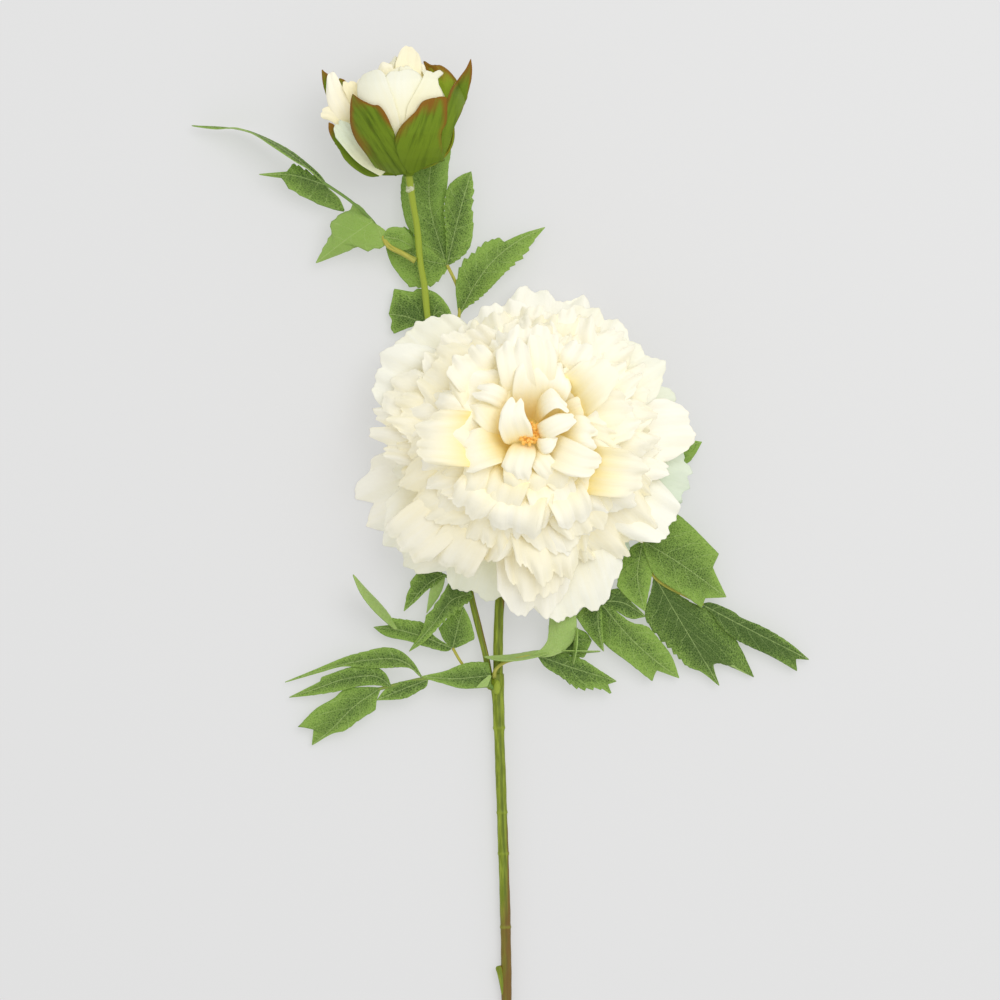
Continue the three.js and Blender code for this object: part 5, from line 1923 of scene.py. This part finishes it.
# ---------------------------------------------------------------- bud
def bud_height(plan: Array, layer: float) -> Array:
    """Height of the bud's rounded body over places in plan.

    The body is round in section. Its radius follows a line of given values along the bud's axis, and the height
    over the axis is the root of the radius squared less the distance sideways squared.

    Args:
        plan: Places in plan.
        layer: Distance over the body.

    Returns:
        Heights.
    """
    axis = unit(np.array(BUD_AXIS[:2], dtype=float))
    away = plan - np.array(BUD_BASE[:2])
    along = away @ axis
    sideways = away @ np.array([axis[1], -axis[0]])
    stations, radii = np.array(BUD_BODY, dtype=float).T
    radius = np.interp(along, stations, radii) + layer
    dome = np.sqrt(np.clip(1.0 - (sideways / radius) ** 2, 0.0, 1.0) + 0.004)
    return BUD_BASE[2] + BUD_AXIS[2] * along + radius * dome


def bud_turn() -> Array:
    """The shortest turn that takes +Z to the bud's axis.

    Returns:
        A 3 by 3 matrix.
    """
    axis = unit(np.array(BUD_AXIS, dtype=float))
    side = np.cross([0.0, 0.0, 1.0], axis)
    skew = np.array([[0, -side[2], side[1]], [side[2], 0, -side[0]], [-side[1], side[0], 0]])
    return np.eye(3) + skew + skew @ skew / (1.0 + axis[2])


@dataclass(frozen=True)
class Wrap:
    """A petal or sepal that closes round the bud's axis.

    Attributes:
        azimuth: Direction in degrees round the bud's axis, from +X to +Z.
        reach: Distance of its tip from the axis.
        length: Distance of its tip along the axis.
        half_width: Half its width.
        belly: Distance of its middle from the axis.
        start: Distance of its root along the axis.
        frill: Its lobes and ruffles.
    """

    azimuth: float
    reach: float
    length: float
    half_width: float
    belly: float
    start: float
    frill: Frill

    def blade(self, rows: int, columns: int) -> tuple[Array, Array, Array, Array]:
        """The sheet as a grid over u, from root to tip, and v, across.

        Its centreline is a cubic curve in distance and height over the belly to the tip. The width bends
        round the axis: the angle is the distance across over the distance from the axis. The frill trims
        the tip and ruffles the distance from the axis, and each sheet spirals out a little on one side.

        Args:
            rows: Rows from root to tip.
            columns: Columns across.

        Returns:
            The grid of points, the distance across, the share along, and v.
        """
        u, v = grid_lines(rows, columns)
        along = np.clip(u * (1.0 - self.frill.trim(v)), 0.0, 1.0)
        knots = np.array([
            (1.5, self.start),
            (1.05 * self.belly, self.start + 0.02 * self.length),
            (1.12 * self.belly, self.start + 0.55 * self.length),
            (self.reach, self.length),
        ])
        point, tangent = cubic(knots, along)
        across = v * self.half_width * (0.3 + 0.7 * np.sin(np.pi / 2 * np.minimum(1.0, along / 0.6)))
        angle = math.radians(self.azimuth) + np.clip(across / np.maximum(point[..., 0], 5.0), -1.5, 1.5)
        push = 0.6 * self.half_width * self.frill.push(u, v) * ease(0.1, 0.5, u)
        radius = np.maximum(point[..., 0] + tangent[..., 1] * push + 1.2 * v, 0.3)
        height = point[..., 1] - tangent[..., 0] * push
        local = np.stack([radius * np.cos(angle), -radius * np.sin(angle), height], axis=-1)
        middle = local @ bud_turn().T + np.array(BUD_BASE)
        keep_above(middle, FLOOR_CLEARANCE)
        return middle, across, along, v * np.ones_like(along)


@dataclass
class Bud:
    """The half-open bud: folded cream petals in olive sepals.

    Attributes:
        wraps: The closed petals.
        front: The three folded petals in front.
        loose: The loose petals beside them.
        sepals: The sepals at the back.
        sepals_front: The sepals that lie on the bud's body.
        sepals_behind: The sepals whose tips show over it.
    """

    wraps: Sequence[Wrap]
    front: Sequence[Plate]
    loose: Sequence[LoosePetal]
    sepals: Sequence[Wrap]
    sepals_front: Sequence[Plate]
    sepals_behind: Sequence[Plate]

    def petals(self, cream: bpy.types.Material) -> None:
        """Builds the closed petals, the three folded ones in front, and the loose ones beside them.

        Args:
            cream: Material of the petals.
        """
        closed = Sculpture()
        for petal in self.wraps:
            middle, across, along, _ = petal.blade(*BUD_GRID)
            tint = Tint(0.1, 0.2, 0.5 * chance(petal.frill.seed))
            closed.sheet(middle, PETAL_THICKNESS, tint.data(across, along, petal.length, petal.frill.seed))
        dress(closed.build("bud_closed_petals"), cream, Slot.PETAL, "bud_petals")
        shape = Sculpture()
        for k, plate in enumerate(self.front):
            middle, data = plate.blade(60.0 + k, BUD_RELIEF)
            tint = Tint(0.15, 0.25, plate.warmth)
            colours = tint.data(data["across"], data["share"], plate.length(), 60.0 + k)
            shape.sheet(middle, PETAL_THICKNESS, colours)
        for k, petal in enumerate(self.loose):
            middle, data = petal.blade(*BUD_LOOSE_GRID, 240.0 + k)
            shape.sheet(middle, PETAL_THICKNESS, data)
        dress(shape.build("bud_folded_petals"), cream, Slot.PETAL, "bud_petals")

    def cup(self, olive: bpy.types.Material) -> None:
        """Builds the sepals all round and the small cup that they grow from.

        Args:
            olive: Material of the sepals and the cup.
        """
        behind = Sculpture()
        for sepal in self.sepals:
            middle, across, along, v = sepal.blade(*SEPAL_GRID)
            rust = 0.45 * ease(0.6, 1.0, np.abs(v)) + 0.6 * ease(0.6, 1.0, along)
            cloth = Tint().data(across, along, sepal.length, sepal.frill.seed)["cloth"]
            behind.sheet(middle, SEPAL_THICKNESS, {"cloth": cloth, "rust": rust})
        behind.turned(CUP_PROFILE, 40, placed(BUD_BASE, bud_turn()), {"front": 1.0, "rust": 0.0})
        dress(behind.build("bud_back_sepals"), olive, Slot.SEPAL, "bud_sepals")
        shape = Sculpture()
        for k, plate in enumerate((*self.sepals_front, *self.sepals_behind)):
            middle, data = plate.blade(70.0 + k, SEPAL_RELIEF)
            rust = 0.6 * ease(0.5, 1.0, data["side"]) * ease(0.15, 0.6, data["share"])
            rust = rust + 0.7 * ease(0.66, 1.0, data["share"])
            shape.sheet(middle, SEPAL_THICKNESS, {"cloth": data["cloth"], "rust": rust})
        dress(shape.build("bud_front_sepals"), olive, Slot.SEPAL, "bud_sepals")


# ---------------------------------------------------------------- stems
@dataclass
class Stems:
    """The main stem with its seams and stub, the fork's collar, and the bud's stem."""

    def _values(self, path: Array, blush: Array) -> dict[str, Array]:
        """Values along a stem for its material.

        Args:
            path: Points along the stem.
            blush: Reddish tint at each of them.

        Returns:
            Arrays by name.
        """
        seam = sum(0.6 * np.exp(-((path[:, 1] - place) / 0.55) ** 2) for place in STEM_SEAMS)
        return {"blush": blush, "groove": np.zeros(len(path)), "seam": seam}

    def _paint(self, shape: Sculpture, shift: float) -> None:
        """Adds the stripe down the right side, and the dark line of the groove.

        The turn is 0 on the right and a quarter on top. The stripe is a bell curve of the turn round the
        right side, and the line one round the groove.

        Args:
            shape: The tubes so far.
            shift: Extra stripe all over.
        """
        for k, cloth in enumerate(shape.data["cloth"]):
            turn = cloth[:, 0]
            right = np.exp(-(np.minimum(turn, 1.0 - turn) / STRIPE_WIDTH) ** 2)
            shape.data["blush"][k] = shape.data["blush"][k] * (0.5 + right) + shift * right
            shape.data["groove"][k] = 0.65 * np.exp(-((turn - GROOVE_TURN) / GROOVE_WIDTH) ** 2)

    def main(self, finish: bpy.types.Material) -> None:
        """Builds the main stem: a tube with low seams and a lengthwise groove, and a stub at its side.

        Args:
            finish: Material of the stem.
        """
        stations = np.linspace(0.0, 1.0, 560)
        path = smooth_line(STEM_PATH, stations)
        y = path[:, 1]
        radius = STEM_RADIUS + 0.25 * ease(-121.0, -118.0, y) - 0.42 * ease(-100.0, -92.0, y)
        radius = radius + 0.06 * np.sin(y * 0.21) + 0.04 * np.sin(y * 0.67)
        for seam in STEM_SEAMS:
            radius = radius + SEAM_RISE * np.exp(-((y - seam) / 0.6) ** 2)
        lower = 1.0 - ease(-240.0, -140.0, y)
        tip = ease(-66.0, -60.0, y) * 0.5
        shape = Sculpture()
        shape.tube(path, radius, 36, self._values(path, 0.1 + 1.0 * lower + tip), groove=0.14)
        share = np.linspace(0.0, 1.0, 30)
        stub = smooth_line(STUB_PATH, share)
        swell = 1.0 + 0.12 * ease(0.75, 0.92, share) - 0.35 * ease(0.95, 1.0, share)
        shape.tube(stub, STUB_RADIUS * swell, 18, self._values(stub, np.full(30, 0.5)), groove=0.1)
        self._paint(shape, 0.25)
        shape.flatten()
        dress(shape.build("main_stem_moulding"), finish, Slot.STEM, "main_stem")

    def collar(self, finish: bpy.types.Material) -> None:
        """Builds the sleeve that joins the two stems: a tube that widens upwards, with a long pale lug on top.

        Args:
            finish: Material of the collar.
        """
        y = np.linspace(COLLAR_SPAN[0], COLLAR_SPAN[1], 50)
        share = np.linspace(0.0, 1.0, 50)
        path = np.stack([COLLAR_PLACE[0] - 0.7 * share, y, np.full(50, COLLAR_PLACE[1])], axis=-1)
        radius = COLLAR_RADIUS * (0.80 + 0.20 * ease(0.0, 0.8, share) - 0.3 * ease(0.93, 1.0, share) ** 2)
        shape = Sculpture()
        shape.tube(path, radius, 36, self._values(path, np.full(50, 0.3)), squash=0.86, groove=0.05)
        self._paint(shape, 0.0)
        shape.flatten()
        tilt = np.linspace(-0.97, 0.97, 16)
        lug = [(LUG_RADIUS * math.sqrt(1 - t * t), LUG_RADIUS * LUG_STRETCH * t) for t in tilt]
        place = placed(LUG_PLACE, np.array(((1, 0, 0), (0, 0, 1), (0, -1, 0))))
        shape.turned(lug, 24, place, {"blush": -1.0, "groove": 0.0, "seam": 1.5})
        dress(shape.build("fork_sleeve"), finish, Slot.COLLAR, "fork_collar")

    def side(self, finish: bpy.types.Material) -> None:
        """Builds the bud's stem.

        Args:
            finish: Material of the stem.
        """
        stations = np.linspace(0.0, 1.0, 280)
        path = smooth_line(BUD_STEM_PATH, stations)
        radius = BUD_STEM_RADIUS * (1.0 + 0.04 * np.sin(stations * 60.0))
        radius = radius + 0.2 * np.exp(-((1 - stations) / 0.03) ** 2)
        shape = Sculpture()
        values = self._values(path, 0.6 * np.exp(-((stations - 0.12) / 0.12) ** 2))
        values["seam"] = 1.45 * ease(0.0, 30.0, path[:, 1])
        shape.tube(path, radius, 24, values, groove=0.14)
        self._paint(shape, 0.0)
        dress(shape.build("bud_stem_moulding"), finish, Slot.STEM, "bud_stem")

    def glue(self, finish: bpy.types.Material) -> None:
        """Builds the blob of glue under the bud: small balls run together, each bulged by a sine wave.

        Args:
            finish: Material of the blob.
        """
        tilt = np.linspace(-0.97, 0.97, 22)
        shape = Sculpture()
        for shift, size in (((0, 0, 0), 1.0), ((-0.9, -1.3, 0.5), 0.62), ((0.8, 1.2, 0.3), 0.55)):
            radius = GLUE_RADIUS * size
            ball = [(radius * math.sqrt(1 - t * t) * (1 + 0.08 * math.sin(5 * t)), radius * t) for t in tilt]
            shape.turned(ball, 28, placed(np.array(GLUE_PLACE) + shift))
        dress(shape.build("bud_glue_blob"), finish, Slot.STEM, "bud_stem")


# ---------------------------------------------------------------- studio
@dataclass
class Studio:
    """Floor, lights and camera.

    Attributes:
        height: Height of the camera, in metres.
        aim: Place that it looks down on, in metres.
        lens: Focal length on a sensor 36 mm wide.
    """

    height: float = 2.0
    aim: tuple[float, float] = (-0.0092, -0.0138)
    lens: float = 155.58

    def camera(self) -> None:
        """Hangs the camera over the stem, looking straight down."""
        made = bpy.data.cameras.new("camera")
        made.lens = self.lens
        made.sensor_width = SENSOR_WIDTH
        hung = add_object("camera", made)
        hung.location = (*self.aim, self.height)
        bpy.context.scene.camera = hung

    def floor(self) -> None:
        """Lays the floor under everything."""
        signs = ((-1, -1), (1, -1), (1, 1), (-1, 1))
        corners = [(x * FLOOR_REACH, y * FLOOR_REACH, FLOOR_HEIGHT) for x, y in signs]
        mesh = bpy.data.meshes.new("floor")
        mesh.from_pydata(corners, [], [(0, 1, 2, 3)])
        mesh.materials.append(FloorFinish().make())
        laid = add_object("floor", mesh)

    def lamp(self, name: str, place: tuple[float, float, float], size: float, power: float) -> None:
        """Hangs a soft square lamp that faces the bloom.

        Args:
            name: Name of the lamp.
            place: Where it hangs, in metres.
            size: Its side, in metres.
            power: Its power, in watts.
        """
        light = bpy.data.lights.new(name, "AREA")
        light.size = size
        light.energy = power
        hung = add_object(name, light)
        hung.location = place
        away = np.array(place) - np.array(LAMP_AIM)
        hung.rotation_euler = (math.acos(away[2] / np.linalg.norm(away)), 0.0, math.atan2(away[0], -away[1]))

    def surroundings(self, strength: float) -> None:
        """Fills the world with even white light.

        Args:
            strength: Strength of the light.
        """
        world = bpy.data.worlds.new("studio")
        world.use_nodes = True
        backdrop = world.node_tree.nodes["Background"]
        backdrop.inputs["Color"].default_value = (1.0, 1.0, 1.0, 1.0)
        backdrop.inputs["Strength"].default_value = strength
        bpy.context.scene.world = world

    def build(self) -> None:
        """Sets up the whole studio."""
        self.camera()
        self.floor()
        self.lamp("key_lamp", LAMP_PLACE, LAMP_SIZE, LAMP_POWER)
        self.surroundings(WORLD_STRENGTH)
        bpy.context.scene.view_settings.view_transform = "Standard"


# ---------------------------------------------------------------- tables of petals
SEPALS_FRONT = (
    # front left
    Plate(((-52.7, 134.8, 0), (-57.6, 141.6, 0), (-63.6, 150.6, 0), (-68.8, 159.5, 0), (-75.7, 169.7, 0)),
          ((-57.6, 134.2), (-62.8, 134.2), (-66.6, 138.6), (-70, 143.4), (-74.1, 149.1), (-76.5, 155.4),
           (-76.8, 161), (-76.5, 166.3)),
          ((-51.6, 137.1), (-54.2, 140.4), (-56.2, 146.1), (-56.5, 150.2), (-58.7, 155.8), (-61.3, 161),
           (-64, 163.9), (-65.8, 163.9), (-69.6, 165.5), (-73.3, 167.9)),
          layer=2),
    # front right
    Plate(((-50.1, 134.7, 0), (-45.6, 145.9, 0), (-41.8, 156.4, 0), (-38.8, 167.2, 0)),
          ((-51.6, 136.2), (-54.6, 140.7), (-56.3, 145.9), (-56.2, 149.6), (-53.8, 154.1), (-50.1, 157.9),
           (-47.1, 160.9), (-44.1, 165.3), (-41.5, 166.5)),
          ((-44.1, 137.3), (-39.6, 139.2), (-34.5, 140.8), (-35.5, 145.9), (-35.7, 151.9), (-33.5, 156.4),
           (-33.2, 163.1), (-33.2, 167.7), (-35.8, 168)),
          layer=3.2),
    # right
    Plate(((-36, 141.2, 0), (-31.9, 154.4, 0), (-28.5, 166.5, 0), (-25.8, 175.5, 0), (-22.5, 186.9, 0)),
          ((-36.2, 146.9), (-34.7, 157.4), (-33.4, 164.2), (-32.2, 169.5), (-30.4, 174), (-28.5, 177.4),
           (-24.7, 182.6)),
          ((-32.6, 146.9), (-30, 155.2), (-27, 161.9), (-25.8, 165.7), (-24, 169.5), (-24, 170.2),
           (-22.2, 177.7), (-21.9, 182.6)),
          layer=2.4),
    # outer left
    Plate(((-57.9, 135, 0), (-67.7, 134.5, 0), (-77.6, 141.2, 0), (-84.3, 148.7, 0), (-87.2, 158.1, 0)),
          ((-63.2, 134.5), (-67, 133.6), (-70, 134.2), (-74.5, 136.6), (-79.8, 141.2), (-82.7, 146.3),
           (-85.8, 151), (-87.2, 154.7)),
          ((-62.5, 135.9), (-68.5, 137), (-73.8, 141.2), (-78.7, 148), (-82.5, 154), (-85.1, 157.4)),
          layer=1.2),
)
SEPALS_BEHIND = (
    # back right
    Plate(((-37, 152.9, 20), (-34, 169.4, 22), (-35.4, 178.4, 24), (-38.8, 184.7, 26)),
          ((-40, 161.8), (-40, 170.9), (-41.1, 178.4), (-43, 183), (-44.2, 187), (-41.5, 185.1)),
          ((-32.4, 163.3), (-30.5, 170.9), (-29, 178.4), (-33.2, 183), (-37, 185)), face_down=True),
    # left tip
    Plate(((-77.9, 154.1, 24), (-85.3, 168.1, 28), (-88.4, 175.7, 28), (-90.4, 182.5, 28)),
          ((-82.3, 158.4), (-87.6, 169), (-89.3, 173.5), (-90.2, 178.1)),
          ((-79.3, 158.4), (-84.2, 170.5), (-86.3, 172), (-86.3, 175.8), (-86.7, 179.6), (-89.2, 181.5))),
    # left inner tip
    Plate(((-73.3, 152.4, 26), (-77.7, 165.7, 30), (-80, 172.5, 30), (-82.4, 178.4, 30)),
          ((-77.7, 158.2), (-80.9, 170.3), (-82.3, 174.5), (-82.6, 177.9)),
          ((-74.7, 159.7), (-76.8, 168), (-77.3, 171.8), (-78.5, 175.6), (-80.1, 177.7))),
)
BUD_FRONT = (
    # left
    Plate(((-55.3, 146.1, 0), (-60.6, 161, 0), (-65.8, 173.8, 0), (-67.3, 180.5, 0)),
          ((-63.6, 147.6), (-70.3, 158), (-73.3, 167), (-73.5, 174.5), (-71.4, 179.2)),
          ((-54.1, 150.6), (-54.3, 156.5), (-56.5, 164.8), (-59.5, 173), (-61.7, 178.9), (-64.3, 180.8)),
          layer=0.2),
    # middle
    Plate(((-53.1, 144.4, 0), (-53.8, 160.9, 0), (-54.6, 172.1, 0), (-54.6, 179.7, 0)),
          ((-56, 148.9), (-59, 159.4), (-61.3, 168.3), (-61.4, 175.8), (-59, 179.4)),
          ((-50.1, 148.9), (-47.7, 160.9), (-45.4, 169.8), (-44.2, 175.8), (-46.7, 179.4), (-50.8, 180.6)),
          layer=-0.6, warmth=0.1),
    # right
    Plate(((-49.4, 147.7, 0), (-45.6, 162.7, 0), (-41.1, 171.7, 0), (-39.7, 179.4, 0)),
          ((-51.6, 150.7), (-50.9, 162.7), (-47.9, 168.7), (-44.5, 175.5), (-42.8, 180.4)),
          ((-42.6, 153.7), (-37.4, 163.5), (-35, 168.7), (-36.8, 173.2), (-37.4, 176.6), (-34.7, 179.8),
           (-36.7, 181.5)),
          layer=0.7, warmth=0.35),
)
BUD_LOOSE = (
    # tall
    LoosePetal(((-51.2, 168.7, 30), (-51, 176.8, 40), (-50.6, 184.5, 38), (-50, 193.2, 30)), 6, cup=0.15,
               gold=0.15, warmth=0.5, notch=0, taper=0.4),
    # top left
    LoosePetal(((-61, 168.5, 32), (-64.6, 174.7, 38), (-66.1, 179.2, 38), (-66.9, 182.3, 36)), 9, cup=0.15,
               warmth=0.3),
    # top right
    LoosePetal(((-51.9, 168.5, 32), (-47.3, 174.7, 38), (-44.3, 179.4, 36), (-42.1, 182.5, 32)), 8, cup=0.15,
               warmth=0.5),
    # side
    LoosePetal(((-74.5, 152.1, 30), (-79.8, 162.3, 34), (-84, 170.5, 34), (-86.3, 180.5, 33)), 5, cup=-0.2,
               notch=0, taper=0.45),
    # side low
    LoosePetal(((-75.4, 153.6, 30), (-81.4, 159.4, 33), (-85.9, 162.4, 33), (-90.8, 163.1, 32)), 3.4, cup=-0.2,
               warmth=0.6),
    # pale
    LoosePetal(((-71.6, 158, 31), (-74.2, 167.6, 34), (-76, 172, 35), (-78.7, 177, 34)), 3.6, cup=0.1, gold=0.3,
               warmth=1),
    # strip
    LoosePetal(((-62.5, 134.8, 31), (-70, 141.5, 34), (-77.5, 150.4, 36), (-83.1, 157.6, 36)), 4.6, cup=0.25,
               warmth=0.6, green=0.8),
)
# Gold at the heart's petal roots, strongest in the pockets, is partly their own golden throat and partly
# painted warm shade.
HEART = (
    # fold over the eye
    LoosePetal(((1.4, 10.2, 64), (-1.6, 16.1, 83), (-3.6, 23.6, 89.5), (-1.6, 32, 86)), 7, cup=0.3, gold=0.35,
               taper=0.38),
    # below the eye
    LoosePetal(((2, 13.8, 64), (-0.3, 5.8, 86), (-2, -0.3, 87), (0.1, -6.2, 82)), 6.6, cup=-0.18, gold=0.3,
               notch=0.12),
    # below right
    LoosePetal(((5.3, 10.7, 64), (8.6, 4.1, 84.5), (12.1, -0.5, 84), (14.8, -4.6, 80)), 4.8, cup=-0.15,
               gold=0.4),
    # right of the eye
    LoosePetal(((6.5, 14.3, 64), (10.9, 17, 86), (17, 20, 88.5), (23.9, 22.8, 85)), 4.3, cup=-0.2, gold=0.35),
    # close right
    LoosePetal(((6.1, 12.7, 66), (9.4, 9.9, 84), (13, 10.9, 86), (16.1, 14.5, 84)), 3.4, cup=-0.2, gold=0.3),
    # above right
    LoosePetal(((6.8, 22.1, 62), (9.9, 28.3, 84), (15, 31.2, 88), (22.1, 26.7, 84)), 4.6, cup=-0.15, gold=0.5),
    # upper left
    LoosePetal(((-2.2, 25.7, 62), (-8.4, 31.3, 85), (-14.5, 34, 88), (-21.1, 35.1, 84)), 4.4, cup=-0.18,
               gold=0.4, notch=0.1),
    # tall left
    LoosePetal(((1.4, 26.3, 58), (-0.9, 37.4, 84), (-3.2, 48, 87), (-4, 57.3, 79)), 7.6, cup=0.16, gold=0.35),
    # tall right
    LoosePetal(((6.2, 26.3, 58), (8.6, 37.5, 82), (9.8, 49.1, 85), (7.7, 59.7, 78)), 6.2, cup=0.18, gold=0.45),
    # far right
    LoosePetal(((8.4, 12.3, 60), (17.1, 7.2, 83), (26.2, 3.1, 86), (36, 1.7, 80)), 7.5, gold=0.5, taper=0.3),
    # left pocket
    LoosePetal(((-8.4, 12.4, 54), (-21, 13.2, 78), (-34, 13.8, 84), (-47.5, 14.5, 77)), 12.5, cup=0.25,
               gold=1.7, warmth=0.3, taper=0.25),
    # right pocket
    LoosePetal(((14.9, 24.9, 54), (25, 33, 78), (33, 39.5, 84), (41, 46.3, 82)), 10.5, gold=1.5, warmth=0.3,
               taper=0.25),
    # low shell
    LoosePetal(((2, 2.6, 54), (-1.5, -9.4, 74), (-3.8, -19.6, 79), (-4.6, -28.3, 70)), 14, cup=0.14, gold=0.55),
    # low right shell
    LoosePetal(((9.7, 2.6, 54), (17.7, -7.8, 74), (22.8, -16.5, 77), (26, -25.3, 69)), 9, cup=0.16, gold=0.5),
    # right shell
    LoosePetal(((17, 3.6, 52), (30.2, -0.4, 74), (43, -1.9, 79), (57, -2.9, 68)), 11, gold=1.3, warmth=0.2,
               taper=0.28),
    # low left shell
    LoosePetal(((-4.7, 5.7, 52), (-13, -3.7, 72), (-20.1, -10.9, 78), (-26.3, -19.1, 70)), 10, cup=0.18,
               gold=0.6),
    # upper right shell
    LoosePetal(((9.7, 25.3, 52), (17.7, 39.3, 72), (22.7, 48.2, 80), (28, 56.6, 74)), 9.5, cup=0.18, gold=0.6),
    # upper shell
    LoosePetal(((3.6, 27.5, 50), (4.4, 41.4, 70), (4.9, 53.4, 79), (5.2, 64.8, 73)), 12, cup=0.16, gold=0.5),
    # upper left shell
    LoosePetal(((-4.7, 24.3, 52), (-14, 35.2, 70), (-21.1, 44.2, 80), (-27.3, 52.5, 75)), 11, cup=0.18,
               gold=0.55),
    # low left frill
    LoosePetal(((-22, -8, 46), (-34, -19, 53), (-45, -28, 47), (-55, -37, 35)), 13, cup=0.1),
    # lower frill
    LoosePetal(((-14, -16, 46), (-22, -27, 54), (-28, -36, 48), (-33, -45.5, 36)), 12, cup=0.1),
    # upper left frill
    LoosePetal(((-26, 20, 46), (-38, 27, 53), (-49, 33, 47), (-60, 38.5, 36)), 12, cup=0.1),
)

RINGS = (
    Ring("bloom_ring_1", 14, 8, 68, 50, 36, 20, 28.0, 0.15),
    Ring("bloom_ring_2", 14, 22, 61, 60, 46, 18, 30.0, 0.25),
    Ring("bloom_ring_3", 13, 2, 54, 69, 55, 16.5, 32.0, 0.4),
    Ring("bloom_ring_4", 12, 14, 46, 78, 64, 15, 33.0, 0.55),
    Ring("bloom_ring_5", 10, 30, 37, 85, 72, 13, 34.0, 0.75),
)
BUD_WRAPS = tuple(
    Wrap(start + 360.0 * k / count, reach, length * (0.95 + 0.1 * chance(7 * layer + k + 60)), half_width,
         belly, 4.0, Frill(90.0 + 9 * layer + k, 0.8, 0.05, 0.04))
    for layer, (count, start, reach, length, half_width, belly) in enumerate((
        (6, 15, 9, 47, 21, 21), (5, 50, 5, 50, 18, 18), (3, 5, 2, 51, 14, 13)))
    for k in range(count)
)
BACK_SEPALS = tuple(
    Wrap(azimuth, reach, length, half_width, belly, 1.2, Frill(130.0 + k, 0.4, 0.05, -0.16, 0.42))
    for k, (azimuth, reach, length, half_width, belly) in enumerate((
        (-34, 15, 28, 12, 16), (-68, 24, 38, 16, 25), (-112, 25, 41, 16, 26), (-158, 24, 40, 15, 24)))
)


def main() -> None:
    """Builds the whole stem and its studio."""
    logging.basicConfig(level=logging.INFO, format="%(name)s %(message)s")
    Studio().build()
    petal = PetalFinish().make()
    sepal = SepalFinish().make()
    leaf = LeafFinish().make()
    stem = StemFinish().make()
    stalk = StalkFinish().make()
    stems = Stems()
    stems.main(stem)
    stems.collar(stem)
    stems.side(stem)
    stems.glue(GlueFinish().make())
    for k, made in enumerate(LEAVES):
        made.build(leaf, stalk, 2.0 * k + 1.0)
    bloom = Bloom(GUARDS, RINGS, HEART)
    bloom.build(petal)
    bloom.stamens(StamenFinish().make())
    Calyx(CALYX_PROFILE).build(sepal)
    bud = Bud(BUD_WRAPS, BUD_FRONT, BUD_LOOSE, BACK_SEPALS, SEPALS_FRONT, SEPALS_BEHIND)
    bud.petals(petal)
    bud.cup(sepal)


if __name__ == "__main__":
    main()
